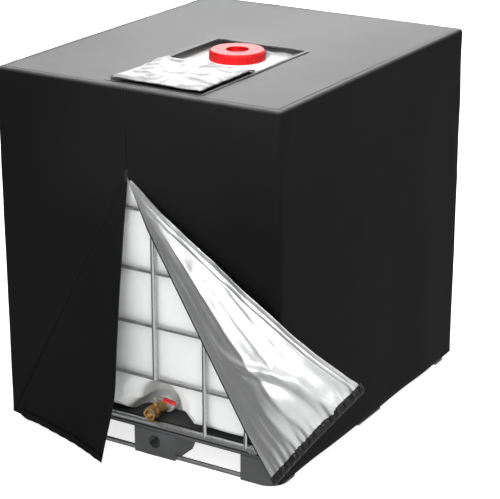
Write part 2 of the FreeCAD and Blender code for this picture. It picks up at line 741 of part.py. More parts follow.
def valve_seats():
    shapes = []
    ball = Part.makeSphere(ball_radius + ball_play, V(valve_x, ball_y, valve_z))
    for s in (-1, 1):
        y0, y1 = sorted((ball_y + s * seat_offset, ball_y + s * (seat_offset + seat_thickness - screw_gap)))
        shapes.append(along_y(seat_outer, y0, y1).cut(along_y(flow_radius, y0 - 1, y1 + 1)).cut(ball))
    return group(shapes)


def valve_ball():
    """Bored ball, at right angles to the flow because the valve is shut."""
    ball = Part.makeSphere(ball_radius, V(valve_x, ball_y, valve_z))
    start = V(valve_x - 2 * ball_radius, ball_y, valve_z)
    bore = Part.makeCylinder(flow_radius - ball_bore_inset, 4 * ball_radius, start, X_AXIS)
    slot = box(valve_x - slot_half, valve_x + slot_half, ball_y - ball_radius, ball_y + ball_radius,
               valve_z + slot_floor, valve_z + ball_radius + 1)
    return ball.cut(bore).cut(slot)


def valve_stem():
    low = valve_z + slot_floor
    rod = along_z(stem_radius, low + tang_rise, valve_z + stem_top, valve_x, ball_y)
    tx, ty = tang_half
    tang = box(valve_x - tx, valve_x + tx, ball_y - ty, ball_y + ty, low + seat_play, low + tang_rise)
    return rod.fuse(tang)


def stem_packing():
    z1 = valve_z + boss_top
    sleeve = along_z(packing_outer, z1 - packing_length + seat_play, z1, valve_x, ball_y)
    return sleeve.cut(along_z(stem_radius + screw_gap, z1 - packing_length, z1 + 1, valve_x, ball_y))


def gland_nut():
    z0 = valve_z + boss_top
    nut = upright_nut(gland_flats, valve_x, ball_y, z0, z0 + gland_thickness)
    return nut.cut(along_z(stem_radius + screw_gap, z0 - 1, z0 + gland_thickness + 1, valve_x, ball_y))


def lever_profile(lift):
    """Side view of the lever's underside from hub to tip, raised by lift."""
    z = valve_z + lever_level + lift
    rise, flat, dip = lever_bend
    return [(-lever_heel, z), (rise, z), (flat, z + lever_rise), (dip, z + lever_rise),
            (lever_reach, z + lever_dip)]


def lever_bar(x_from, width_here, grow):
    """The lever's bent strip from x_from to its tip, with its thickness grown by grow on each side."""
    low = lever_profile(-grow)
    high = lever_profile(lever_metal + grow)

    def level(line, x):
        for (x0, z0), (x1, z1) in zip(line, line[1:]):
            if x0 <= x <= x1:
                return z0 + (z1 - z0) * (x - x0) / (x1 - x0)
        return line[-1][1]

    xs = sorted({x_from} | {x for x, _ in low if x > x_from})
    y0 = ball_y - width_here / 2
    points = [V(valve_x + x, y0, level(low, x)) for x in xs]
    points += [V(valve_x + x, y0, level(high, x)) for x in reversed(xs)]
    return Part.Face(Part.makePolygon(points + points[:1])).extrude(V(0, width_here, 0))


def valve_lever():
    bar = lever_bar(-lever_heel, lever_width, 0.0)
    heel = valve_x - lever_heel
    corners = [e for e in bar.Edges if abs(e.BoundBox.XMax - heel) < 1e-3 and e.BoundBox.ZLength > 1]
    bar = bar.makeFillet(0.4 * lever_width, corners)
    return bar.cut(along_z(stem_radius + screw_gap, valve_z, valve_z + 2 * stem_top, valve_x, ball_y))


def lever_grip():
    """The dipped plastic sleeve over the lever's outer end, with its rounded tip."""
    sleeve = lever_bar(grip_start, lever_width + 2 * grip_wall, grip_wall)
    z_tip = lever_profile(lever_metal / 2)[-1][1]
    half = lever_metal / 2 + grip_wall + knob_extra
    knob = along_z(lever_width / 2 + grip_wall, z_tip - half, z_tip + half, valve_x + lever_reach, ball_y)
    rims = [e for e in knob.Edges if e.BoundBox.ZLength < 1e-6]
    knob = knob.makeFillet(knob_round, rims)
    return sleeve.fuse(knob).cut(lever_bar(-lever_heel, lever_width, screw_gap))


def lever_nut():
    z0 = valve_z + lever_level + lever_metal
    nut = upright_nut(nut_flats, valve_x, ball_y, z0, z0 + nut_thickness)
    return nut.cut(along_z(stem_radius + screw_gap, z0 - 1, z0 + nut_thickness + 1, valve_x, ball_y))


# ---- Cover ----------------------------------------------------------------------------------------------
outer_x = cover_half_x + cloth
outer_y = cover_half_y + cloth
cover_crown = cover_top + cloth


def plate(points, y0, y1):
    """A flat piece of cloth that stands in the front's plane, from its x and z corners."""
    corners = [V(x, y0, z) for x, z in points]
    return Part.Face(Part.makePolygon(corners + corners[:1])).extrude(V(0, y1 - y0, 0))


def cover_top_panel():
    panel = box(-outer_x, outer_x, -outer_y, outer_y, cover_top, cover_crown)
    return panel.cut(box(window_x[0], window_x[1], window_y[0], window_y[1], cover_top - 1, cover_crown + 1))


def cover_front_panel():
    """The front above the two fold lines, which run from the slider to the bottom corners."""
    low, peak = cover_hem, zip_open_z - slider_strip[1]
    points = [(-outer_x, low), (-outer_x, cover_top), (outer_x, cover_top), (outer_x, low),
              (outer_x - seam_strip, low), (zip_x + slider_strip[0], peak), (zip_x - slider_strip[0], peak),
              (-outer_x + seam_strip, low)]
    panel = plate(points, -outer_y, -cover_half_y)
    slot = box(zip_x - zip_slot / 2, zip_x + zip_slot / 2, -outer_y - 1, -cover_half_y + 1,
               zip_open_z - zip_slot, cover_top - zip_end)
    return panel.cut(slot)


def window_panel():
    """The front half of the window's flap, still zipped in place."""
    g = fit_gap
    return box(window_x[0] + g, window_x[1] - g, window_y[0] + g, window_fold_y, cover_top, cover_crown)


def window_flap():
    """The back half of the window's flap, folded forward over the front half, lining up."""
    z0 = cover_crown + flap_gap
    side, front = flap_inset
    return box(window_x[0] + side, window_x[1] - side, window_y[0] + front, window_fold_y, z0, z0 + cloth)


def window_binding():
    b = binding_width
    frame = box(window_x[0] - b, window_x[1] + b, window_y[0] - b, window_y[1] + b,
                cover_crown, cover_crown + binding_thickness)
    return frame.cut(box(window_x[0], window_x[1], window_y[0], window_y[1], cover_crown - 1, cover_crown + 2))


def zip_chain():
    """The two rows of teeth above the slider."""
    y = -cover_half_y - cloth / 2
    t = chain_thickness / 2
    low, high = zip_open_z + teeth_start, cover_top - teeth_end
    left = box(zip_x - chain_width / 2, zip_x - chain_gap / 2, y - t, y + t, low, high)
    right = box(zip_x + chain_gap / 2, zip_x + chain_width / 2, y - t, y + t, low, high)
    return group([left, right])


def zip_tape():
    y = -cover_half_y - cloth / 2
    t = tape_thickness / 2
    low, high = zip_open_z - tape_start, cover_top - zip_end
    left = box(zip_x - zip_slot / 2, zip_x - chain_width / 2, y - t, y + t, low, high)
    right = box(zip_x + chain_width / 2, zip_x + zip_slot / 2, y - t, y + t, low, high)
    return group([left, right])


pivot_y = -cover_half_y - cloth / 2 - slider_size[1] / 2 - pivot_stand
pivot_z = zip_open_z + slider_size[2] / 2


def zip_slider():
    """Two plates around the teeth, joined by a divider, with the bridge that carries the pull."""
    w, d, h = slider_size
    y = -cover_half_y - cloth / 2
    low = zip_open_z
    g = fit_gap
    body = box(zip_x - w / 2, zip_x + w / 2, y - d / 2, y + d / 2, low, low + h)
    body = body.makeFillet(slider_round, [e for e in body.Edges if e.BoundBox.ZLength > h - 1])
    body = body.cut(box(zip_x - chain_width / 2 - g, zip_x + chain_width / 2 + g,
                        y - chain_thickness / 2 - g, y + chain_thickness / 2 + g, low - 1, low + h + 1))
    body = body.cut(box(zip_x - w, zip_x + w, y - tape_thickness / 2 - g, y + tape_thickness / 2 + g,
                        low - 1, low + h + 1))
    half = chain_gap / 2 - g
    divider = box(zip_x - half, zip_x + half, y - d / 2, y + d / 2, low - divider_drop, low + fit_gap)
    arm = bridge_half + bridge_bar
    bridge = box(zip_x - half, zip_x + half, pivot_y - pull_gap - bridge_bar, y - d / 2 + 1,
                 pivot_z - arm, pivot_z + arm)
    gap = box(zip_x - w, zip_x + w, pivot_y - pull_gap, y - d / 2, pivot_z - bridge_half, pivot_z + bridge_half)
    return fused([*body.Solids, divider, bridge.cut(gap)])


def zip_pull():
    """The tab that hangs from the slider's bridge by its eye."""
    w, t, h = pull_size
    top = pivot_z + pull_crown
    tab = box(zip_x - w / 2, zip_x + w / 2, pivot_y - t / 2, pivot_y + t / 2, top - h, top)
    eye_half = chain_gap / 2 + fit_gap
    eye = box(zip_x - eye_half, zip_x + eye_half, pivot_y - t, pivot_y + t,
              pivot_z - pull_eye, pivot_z + pull_crown - bridge_bar)
    return tab.cut(eye)


def fold_axis(side):
    """Start, direction and plane of the line that a front flap folds along."""
    s = -1 if side == "left" else 1
    y = -outer_y - (left_flap_layer if side == "left" else right_flap_layer)
    start = V(zip_x, y, zip_open_z)
    end = V(s * (outer_x - fold_inset), y, cover_hem + flap_lift)
    return start, (end - start).normalize()


def front_flap_left():
    """The left half below the slider, standing a little open."""
    start, along = fold_axis("left")
    y0 = start.y - flap_cloth / 2
    top = zip_open_z - flap_apex
    edge = zip_x - flap_side_inset
    fold_top = start + along * flap_apex
    low = cover_hem + flap_lift
    heel = start + along * ((start.z - low) / -along.z)
    flap = plate([(edge, top), (edge, low), (heel.x, low), (fold_top.x, fold_top.z)], y0, y0 + flap_cloth)
    flap.rotate(start, along, left_flap_open)
    return flap


def tape_on_left_flap():
    start, along = fold_axis("left")
    y0 = start.y - flap_cloth / 2 - tape_thickness
    edge = zip_x - flap_side_inset - tape_thickness
    high, low = zip_open_z - flap_apex - tape_end, cover_hem + 2 * flap_lift
    strip = plate([(edge - edge_tape, high), (edge, high), (edge, low), (edge - edge_tape, low)],
                  y0, y0 + tape_thickness)
    strip.rotate(start, along, left_flap_open)
    return strip


def right_outline():
    """x and z corners of the right flap, folded back over the panel and past the cover's corner."""
    start, along = fold_axis("right")
    fold_top = start + along * flap_apex
    to_tip = V(right_tip[0] - zip_x, 0, right_tip[1] - zip_open_z)
    reach = to_tip.Length
    edge_top = V(zip_x, 0, zip_open_z) + to_tip * (flap_apex / reach)
    heel = start + along * ((start.z - right_heel[1]) / -along.z)
    return [(fold_top.x, fold_top.z), (edge_top.x, edge_top.z), tuple(right_tip), tuple(right_heel),
            (heel.x, heel.z)]


def front_flap_right():
    start, _ = fold_axis("right")
    y0 = start.y - flap_cloth / 2
    return plate(right_outline(), y0, y0 + flap_cloth)


def tape_on_right_flap():
    start, _ = fold_axis("right")
    y0 = start.y - flap_cloth / 2 - tape_thickness
    (ax, az), (bx, bz) = right_outline()[1:3]
    along = V(bx - ax, 0, bz - az).normalize()
    inward = V(along.z, 0, -along.x)
    a = V(ax, 0, az) + along * tape_end + inward * tape_thickness
    b = V(bx, 0, bz) - along * tape_end + inward * tape_thickness
    corners = [a, b, b + inward * edge_tape, a + inward * edge_tape]
    return plate([(c.x, c.z) for c in corners], y0, y0 + tape_thickness)


def main():
    os.makedirs("parts", exist_ok=True)

    made(pallet_deck(), "pallet_deck")
    for name, shape in feet().items():
        made(shape, name)
    made(skid_frame(), "skid_frame")
    made(skid_runner(), "skid_runner")
    made(foot_screws(), "foot_screws")

    made(bent_tube(rail_half, cage_corner, rail_z, rail_tube), "cage_base_rail")
    for i, z in enumerate(hoop_levels, 1):
        made(bent_tube(hoop_half, cage_corner, z, hoop_tube), f"cage_hoop_{i}")
    made(bent_tube(rail_half, cage_corner, top_z, top_tube), "cage_top_rail")
    rods = cage_rings(screw_gap)
    for side in ("front", "back", "left", "right"):
        made(uprights(side, rods), f"cage_uprights_{side}")
    for name, y in zip(("front", "back"), top_bars_y):
        made(top_bar(y), f"top_bar_{name}")
    made(top_bar_screws(), "top_bar_screws")
    made(group(cage_clamp(*place) for place in clamp_places()), "cage_clamps")
    made(clamp_screws(), "clamp_screws")

    made(bottle(), "bottle")
    made(lid_seal(), "lid_seal")
    made(lid(), "lid")

    for piece in (outlet_adaptor, outlet_gasket, valve_body, valve_end_cap, valve_seats, valve_ball, valve_stem,
                  stem_packing, gland_nut, valve_lever, lever_grip, lever_nut):
        made(piece(), piece.__name__)

    made(cover_top_panel(), "cover_top")
    made(cover_front_panel(), "cover_front")
    made(box(-outer_x, outer_x, cover_half_y, outer_y, cover_hem, cover_top), "cover_back")
    made(box(-outer_x, -cover_half_x, -cover_half_y, cover_half_y, cover_hem, cover_top), "cover_left")
    made(box(cover_half_x, outer_x, -cover_half_y, cover_half_y, cover_hem, cover_top), "cover_right")
    for piece in (window_panel, window_flap, window_binding, zip_chain, zip_tape, zip_slider, zip_pull,
                  front_flap_left, tape_on_left_flap, front_flap_right, tape_on_right_flap):
        made(piece(), piece.__name__)


main()
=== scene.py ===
import json
import math

import bmesh
import bpy
import numpy as np
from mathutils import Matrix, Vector, noise


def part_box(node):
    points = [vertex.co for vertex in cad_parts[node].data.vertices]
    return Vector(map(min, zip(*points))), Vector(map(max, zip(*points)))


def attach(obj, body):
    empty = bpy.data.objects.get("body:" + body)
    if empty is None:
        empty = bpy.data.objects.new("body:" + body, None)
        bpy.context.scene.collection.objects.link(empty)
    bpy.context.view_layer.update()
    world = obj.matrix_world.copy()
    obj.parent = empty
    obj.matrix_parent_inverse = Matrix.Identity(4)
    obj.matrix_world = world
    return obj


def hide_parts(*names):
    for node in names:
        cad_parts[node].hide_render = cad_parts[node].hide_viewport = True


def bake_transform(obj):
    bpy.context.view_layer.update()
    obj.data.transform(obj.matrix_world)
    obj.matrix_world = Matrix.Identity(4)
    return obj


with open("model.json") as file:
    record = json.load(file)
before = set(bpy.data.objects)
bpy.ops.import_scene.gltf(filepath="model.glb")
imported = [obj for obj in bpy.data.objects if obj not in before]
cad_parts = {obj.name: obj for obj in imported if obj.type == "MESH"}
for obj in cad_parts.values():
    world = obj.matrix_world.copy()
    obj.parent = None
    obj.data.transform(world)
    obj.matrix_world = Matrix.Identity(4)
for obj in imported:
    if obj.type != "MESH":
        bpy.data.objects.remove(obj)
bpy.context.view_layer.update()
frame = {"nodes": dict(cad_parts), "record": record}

# ---- Camera ---------------------------------------------------------------------------------------------
# A long lens held above the container's height, a little to its right front corner.
camera_place = (2.932, -4.778, 2.525)
camera_yaw = math.radians(31.19)
camera_pitch = math.radians(19.96)
camera_lens = 129.8


def link(thing):
    bpy.context.scene.collection.objects.link(thing)
    return thing


camera = link(bpy.data.objects.new("camera", bpy.data.cameras.new("camera")))
camera.data.lens = camera_lens
camera.data.sensor_width = 36.0
camera.data.clip_end = 100.0
camera.location = camera_place
camera.rotation_euler = (math.pi / 2 - camera_pitch, 0, camera_yaw)
bpy.context.scene.camera = camera

# ---- Studio ---------------------------------------------------------------------------------------------
# A pale floor under a wide overhead softbox. A second one behind the object skims the cover's top, a third
# lights the open front from the camera's right, a weak one fills the left, and a narrow beam reaches the lid.
bpy.context.scene.view_settings.view_transform = "Standard"
world = bpy.data.worlds.new("studio")
world.use_nodes = True
world.node_tree.nodes["Background"].inputs["Color"].default_value = (1.0, 1.0, 1.0, 1)
# The studio is dark on the left and opens to bright walls on the right.
sky, sky_links = world.node_tree.nodes, world.node_tree.links
sky_place = sky.new("ShaderNodeTexCoord")
sky_axes = sky.new("ShaderNodeSeparateXYZ")
sky_ramp = sky.new("ShaderNodeMapRange")
sky_ramp.inputs["From Min"].default_value = -0.55
sky_ramp.inputs["From Max"].default_value = 0.08
sky_ramp.inputs["To Min"].default_value = 0.14
sky_ramp.inputs["To Max"].default_value = 0.80
sky_links.new(sky_place.outputs["Generated"], sky_axes.inputs["Vector"])
sky_links.new(sky_axes.outputs["X"], sky_ramp.inputs["Value"])
sky_links.new(sky_ramp.outputs["Result"], sky["Background"].inputs["Strength"])
bpy.context.scene.world = world


def softbox(name, place, aim, size, watts, spread=math.pi):
    lamp = bpy.data.lights.new(name, "AREA")
    lamp.spread = spread
    lamp.shape = "RECTANGLE"
    lamp.size, lamp.size_y = size
    lamp.energy = watts
    box = link(bpy.data.objects.new(name, lamp))
    box.location = place
    box.rotation_euler = (Vector(aim) - Vector(place)).to_track_quat("-Z", "Y").to_euler()
    box.visible_camera = False


softbox("softbox_over", (0.2, -0.6, 5.2), (0, 0, 0.8), (5.0, 5.0), 150)
softbox("softbox_behind", (-3.4, 5.6, 3.6), (0, 0, 1.16), (6.0, 3.2), 300)
softbox("softbox_front", (1.1, -5.7, 2.2), (0.2, -0.6, 0.5), (2.6, 2.0), 60)
softbox("softbox_left", (-4.6, -3.6, 2.4), (-0.2, -0.6, 0.6), (2.0, 3.0), 55)
softbox("softbox_window", (1.5, -4.4, 3.7), (0.08, -0.02, 1.14), (0.7, 0.7), 4, math.radians(13))


def grain_finish(name, colour, rough, metal=0.0, spread=0.08, blotch=5.0, grain=500.0, depth=0.0001, bump=0.35):
    """A finish with broad colour and gloss variation and a fine surface grain. Returns it with its nodes."""
    made = bpy.data.materials.new(name)
    made.use_nodes = True
    nodes, links = made.node_tree.nodes, made.node_tree.links
    shader = nodes["Principled BSDF"]
    shader.inputs["Metallic"].default_value = metal
    place = nodes.new("ShaderNodeTexCoord")
    broad = nodes.new("ShaderNodeTexNoise")
    broad.inputs["Scale"].default_value = blotch
    broad.inputs["Detail"].default_value = 5.0
    links.new(place.outputs["Object"], broad.inputs["Vector"])
    ramp = nodes.new("ShaderNodeValToRGB")
    ramp.color_ramp.elements[0].position = 0.3
    ramp.color_ramp.elements[1].position = 0.7
    ramp.color_ramp.elements[0].color = (*[c * (1 - spread) for c in colour], 1)
    ramp.color_ramp.elements[1].color = (*[min(1.0, c * (1 + spread)) for c in colour], 1)
    links.new(broad.outputs["Fac"], ramp.inputs["Fac"])
    links.new(ramp.outputs["Color"], shader.inputs["Base Color"])
    gloss = nodes.new("ShaderNodeMapRange")
    gloss.inputs["To Min"].default_value = max(0.02, rough - 0.06)
    gloss.inputs["To Max"].default_value = min(1.0, rough + 0.06)
    links.new(broad.outputs["Fac"], gloss.inputs["Value"])
    links.new(gloss.outputs["Result"], shader.inputs["Roughness"])
    fine = nodes.new("ShaderNodeTexNoise")
    fine.inputs["Scale"].default_value = grain
    fine.inputs["Detail"].default_value = 3.0
    links.new(place.outputs["Object"], fine.inputs["Vector"])
    relief = nodes.new("ShaderNodeBump")
    relief.inputs["Strength"].default_value = bump
    relief.inputs["Distance"].default_value = depth
    links.new(fine.outputs["Fac"], relief.inputs["Height"])
    links.new(relief.outputs["Normal"], shader.inputs["Normal"])
    return made, {"shader": shader, "place": place, "ramp": ramp, "relief": relief}


floor_size = 30.0
floor_mesh = bpy.data.meshes.new("floor")
floor_corners = [(-floor_size, -floor_size, 0), (floor_size, -floor_size, 0), (floor_size, floor_size, 0),
                 (-floor_size, floor_size, 0)]
floor_mesh.from_pydata(floor_corners, [], [(0, 1, 2, 3)])
floor = link(bpy.data.objects.new("floor", floor_mesh))
pale, parts = grain_finish("pale_floor", (0.93, 0.93, 0.93), 0.7, spread=0.01, blotch=1.0)
parts["shader"].inputs["Emission Color"].default_value = (1, 1, 1, 1)
nodes, links = pale.node_tree.nodes, pale.node_tree.links
# The floor inside the front foot lies in the dark, from the foot's wall inwards.
foot_middle = (0.035, -0.51, 0)
dark_within, bright_beyond = 0.084, 0.095
floor_glow = 0.72
from_foot = nodes.new("ShaderNodeVectorMath")
from_foot.operation = "DISTANCE"
from_foot.inputs[1].default_value = foot_middle
shade = nodes.new("ShaderNodeMapRange")
shade.inputs["From Min"].default_value = dark_within
shade.inputs["From Max"].default_value = bright_beyond
shade.inputs["To Min"].default_value = 0.0
shade.inputs["To Max"].default_value = floor_glow
links.new(parts["place"].outputs["Object"], from_foot.inputs[0])
links.new(from_foot.outputs["Value"], shade.inputs["Value"])
links.new(shade.outputs["Result"], parts["shader"].inputs["Emission Strength"])
floor_mesh.materials.append(pale)
floor.visible_glossy = False

# ---- Cover: the sewn shell ------------------------------------------------------------------------------
# Five panels of coated polyester, black outside and silver inside, sewn into a box that hangs over the cage.
# The front ends at two fold lines, which run from the zip's slider to the bottom corners.
cloth = 0.002
binding_width = 0.012
slider_half = 0.0055      # half the slider's width
slider_gap = 0.004        # from the chain's end down to the point where the flaps part
shell_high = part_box("cover_top")[1]
half_x, half_y, crown = shell_high.x, shell_high.y, shell_high.z
hem_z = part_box("cover_right")[0].z
window_low, window_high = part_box("window_binding")
binding_inset = Vector((binding_width, binding_width, 0))
window_low, window_high = window_low + binding_inset, window_high - binding_inset
fold_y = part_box("window_panel")[1].y
zip_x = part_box("zip_slider")[0].x + slider_half
zip_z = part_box("zip_chain")[0].z - slider_gap
front_hem_z = hem_z + 0.002
fold_foot = 0.495         # from the middle to the foot of each fold line
edge_round = 0.014
weave_scale = 210.0
shell_step = 0.021        # between the lines of the shell's mesh
seam_join = 0.0002        # points of neighbouring patches closer than this become one


def cloth_finish(name, colour, rough, spread, weave_bump):
    """Woven cloth: threads crossing along the three axes, over broad wear."""
    made, n = grain_finish(name, colour, rough, spread=spread, blotch=2.2, grain=90.0)
    nodes, links = made.node_tree.nodes, made.node_tree.links
    total = None
    for axis in ("X", "Y", "Z"):
        thread = nodes.new("ShaderNodeTexWave")
        thread.bands_direction = axis
        thread.inputs["Scale"].default_value = weave_scale
        thread.inputs["Distortion"].default_value = 0.6
        links.new(n["place"].outputs["Object"], thread.inputs["Vector"])
        if total is None:
            total = thread.outputs["Fac"]
        else:
            both = nodes.new("ShaderNodeMath")
            both.operation = "ADD"
            links.new(total, both.inputs[0])
            links.new(thread.outputs["Fac"], both.inputs[1])
            total = both.outputs[0]
    n["relief"].inputs["Strength"].default_value = 0.25
    n["relief"].inputs["Distance"].default_value = 0.0012
    weave = nodes.new("ShaderNodeBump")
    weave.inputs["Strength"].default_value = weave_bump
    weave.inputs["Distance"].default_value = 0.0003
    links.new(total, weave.inputs["Height"])
    links.new(n["relief"].outputs["Normal"], weave.inputs["Normal"])
    links.new(weave.outputs["Normal"], n["shader"].inputs["Normal"])
    return made, n


black_cloth, parts = cloth_finish("black_polyester", (0.0066, 0.0066, 0.0070), 0.55, 0.15, 0.25)
# The top panel's colour is painted lighter, as painted light from the lamps above and behind, and its specular
# level is higher:
# the shell's "upward" attribute is 1 there and 0 on the upright panels.
nodes, links = black_cloth.node_tree.nodes, black_cloth.node_tree.links
upward = nodes.new("ShaderNodeAttribute")
upward.attribute_name = "upward"
# The mix below paints the top panel lighter than the upright panels: painted light.
top_painted_light = nodes.new("ShaderNodeMix")
top_painted_light.data_type = "RGBA"
top_painted_light.inputs["B"].default_value = (0.085, 0.085, 0.086, 1)
links.new(upward.outputs["Fac"], top_painted_light.inputs["Factor"])
links.new(parts["ramp"].outputs["Color"], top_painted_light.inputs["A"])
links.new(top_painted_light.outputs["Result"], parts["shader"].inputs["Base Color"])
lustre = nodes.new("ShaderNodeMapRange")
lustre.inputs["To Min"].default_value = 0.025
lustre.inputs["To Max"].default_value = 0.25
links.new(upward.outputs["Fac"], lustre.inputs["Value"])
links.new(lustre.outputs["Result"], parts["shader"].inputs["Specular IOR Level"])
silver, parts = cloth_finish("silver_lining", (0.76, 0.765, 0.77), 0.29, 0.05, 0.12)
parts["shader"].inputs["Metallic"].default_value = 0.93
# A darker copy of the silver lining, as painted shade, for the window's flap under the overhead lamp.
shaded_silver_lining, parts = cloth_finish("silver_lining_painted_shade", (0.36, 0.363, 0.367), 0.46, 0.05, 0.12)
parts["shader"].inputs["Metallic"].default_value = 0.55


def lines_between(low, high, step, extra=()):
    """Positions from low to high at about a step, closer where the corners are rounded, with extra ones."""
    near = [0.0, 0.003, 0.006, 0.010, edge_round]
    steps = max(2, round((high - low - 2 * edge_round) / step))
    inner = np.linspace(low + edge_round, high - edge_round, steps + 1)
    inner = [v for v in inner if all(abs(v - e) > 0.3 * step for e in extra)]
    return np.array(sorted({round(float(v), 6) for v in [*[low + n for n in near], *inner, *extra,
                                                        *[high - n for n in near]]}))


def grid_faces(rows, cols, first=0):
    corners = [first + i * cols + j for i in range(rows - 1) for j in range(cols - 1)]
    return [(c, c + 1, c + cols + 1, c + cols) for c in corners]


def tube_faces(rings, sides):
    """Faces of a tube made of closed rings, with a cap at each end."""
    skin = [(i * sides + k, i * sides + (k + 1) % sides, (i + 1) * sides + (k + 1) % sides, (i + 1) * sides + k)
            for i in range(rings - 1) for k in range(sides)]
    return [*skin, tuple(reversed(range(sides))), tuple(range((rings - 1) * sides, rings * sides))]


def mesh_object(name, points, faces, materials):
    mesh = bpy.data.meshes.new(name)
    mesh.from_pydata([tuple(map(float, p)) for p in points], [], [tuple(map(int, f)) for f in faces])
    for material in materials:
        mesh.materials.append(material)
    mesh.polygons.foreach_set("use_smooth", [True] * len(mesh.polygons))
    return link(bpy.data.objects.new(name, mesh))


def clean(thing, join_within=0.0):
    """Joins points that lie closer than a distance and turns the faces outwards."""
    work = bmesh.new()
    work.from_mesh(thing.data)
    if join_within:
        bmesh.ops.remove_doubles(work, verts=work.verts, dist=join_within)
    bmesh.ops.recalc_face_normals(work, faces=work.faces)
    work.to_mesh(thing.data)
    work.free()


def face_toward(thing, direction=None, centre=None):
    """Turns all faces round if on the whole they look away from a direction, or towards a centre."""
    total = 0.0
    for polygon in thing.data.polygons:
        look = Vector(direction) if centre is None else polygon.center - Vector(centre)
        total += polygon.normal.dot(look) * polygon.area
    if total < 0:
        thing.data.flip_normals()


def thicken(thing, thickness):
    """Gives a sheet its thickness behind its face, with its second material on the far side."""
    solid = thing.modifiers.new("thickness", "SOLIDIFY")
    solid.thickness = thickness
    solid.offset = -1.0
    solid.material_offset = 1


def waves(points, scale, seed):
    """Smooth noise from -1 to 1 at each point."""
    shift = Vector((seed * 7.3, seed * 3.1, seed * 5.7))
    return np.array([noise.noise(Vector(p) * scale + shift) for p in points])


def smooth_step(low, high, value):
    t = np.clip((value - low) / (high - low), 0, 1)
    return t * t * (3 - 2 * t)


def fold_height(x):
    """Height of the front panel's lower edge at x."""
    side = 1.0 if x > zip_x else -1.0
    share = np.clip((x - zip_x) / (side * fold_foot - zip_x), 0, 1)
    return zip_z + (front_hem_z - zip_z) * share


placket = [zip_x + d for d in (-0.010, -0.004, -0.0015, 0, 0.0015, 0.008, 0.011, 0.018)]
x_lines = lines_between(-half_x, half_x, shell_step, [window_low.x, window_high.x, *placket])
y_lines = lines_between(-half_y, half_y, shell_step, [window_low.y, window_high.y])
shares = np.linspace(0, 1, 52)
top_rows = [crown - 0.010, crown - 0.006, crown - 0.003, crown]


def column(foot):
    """Heights of the points up one upright line of the shell."""
    return [*(foot + (crown - edge_round - foot) * shares), *top_rows]


points, faces = [], []


def add_patch(patch, keep=None):
    """Adds a grid of points to points, and to faces those of its faces whose middle passes a test."""
    first = len(points)
    points.extend(p for row in patch for p in row)
    new = grid_faces(len(patch), len(patch[0]), first)
    faces.extend(f for f in new if keep is None or keep(np.mean([points[i] for i in f], axis=0)))


def outside_window(p):
    return not (window_low.x < p[0] < window_high.x and window_low.y < p[1] < window_high.y)


add_patch([[(x, y, crown) for y in y_lines] for x in x_lines], outside_window)
add_patch([[(x, -half_y, z) for z in column(fold_height(x))] for x in x_lines if x <= zip_x])
add_patch([[(x, -half_y, z) for z in column(fold_height(x))] for x in x_lines if x >= zip_x])
add_patch([[(x, half_y, z) for z in column(hem_z)] for x in x_lines])
for side in (-half_x, half_x):
    add_patch([[(side, y, z) for z in column(hem_z if y > -half_y else fold_height(side))] for y in y_lines])

flat = np.array(points)
core_x, core_y = half_x - edge_round, half_y - edge_round
core = np.clip(flat, [-core_x, -core_y, -1], [core_x, core_y, crown - edge_round])
out = flat - core
out /= np.linalg.norm(out, axis=1)[:, None]
# The panels hang a little off the box, slacker towards the hem, creased at the top corners and smooth on top.
low_share = 1 - flat[:, 2] / crown
drape = 0.0016 * (waves(flat * [1, 1, 0.35], 3.2, 1) + 1)
drape += 0.004 * low_share * (waves(flat * [1, 1, 0.12], 5.5, 2) + 0.6)
drape += 0.0008 * waves(flat, 11.0, 3)
on_top = out[:, 2] > 0.9
drape[on_top] = 0.0018 * waves(flat[on_top], 4.0, 4) + 0.0006 * waves(flat[on_top], 15.0, 5) - 0.0005
near_corner = np.exp(-((half_x - np.abs(flat[:, 0])) + (half_y - np.abs(flat[:, 1]))) / 0.12)
drape += 0.0022 * near_corner * waves(flat * [1, 1, 0.3], 26.0, 6) * (flat[:, 2] > crown - 0.5)
# A raised lap covers the zip down the front, with a groove on each side.
front = flat[:, 1] < -half_y + 1e-5
from_zip = flat[:, 0] - zip_x
lap = np.exp(-((from_zip - 0.0045) / 0.0055) ** 4) - 0.7 * np.exp(-(from_zip / 0.0016) ** 2)
lap -= 0.5 * np.exp(-((from_zip - 0.011) / 0.002) ** 2)
drape[front] = np.clip(drape[front], -0.0008, 0.004) + 0.0016 * lap[front]
drape += 0.0012 * smooth_step(0.05, 0.02, flat[:, 2])
# At the fold lines the panel lies flat, so that the flaps start on it.
fold_margin = 0.03
over_fold = np.abs(flat[:, 2] - np.array([fold_height(x) for x in flat[:, 0]]))
at_fold = front & (over_fold < fold_margin)
drape[at_fold] *= over_fold[at_fold] / fold_margin
shaped = core + out * edge_round + out * drape[:, None]
shell = mesh_object("cover_shell", shaped, faces, [black_cloth, silver])
# The upward share masks the painted light on the top panel's colour.
upward_share = shell.data.attributes.new("upward", "FLOAT", "POINT")
upward_share.data.foreach_set("value", smooth_step(0.35, 0.95, out[:, 2]))
clean(shell, seam_join)
face_toward(shell, centre=(0, 0, 0.5))
thicken(shell, cloth)
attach(shell, "cover")
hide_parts("cover_top", "cover_front", "cover_back", "cover_left", "cover_right")

# ---- Stitches and zip teeth -----------------------------------------------------------------------------
# Lockstitch thread lies in a row beside the top seam. A zip's teeth sit at an even pitch along the tape's edge.
thread_black, parts = grain_finish("black_thread", (0.02, 0.02, 0.021), 0.6, grain=2500.0)
parts["shader"].inputs["Specular IOR Level"].default_value = 0.1
tooth_black, parts = grain_finish("zip_tooth", (0.012, 0.012, 0.012), 0.35, grain=900.0)
parts["shader"].inputs["Specular IOR Level"].default_value = 0.2


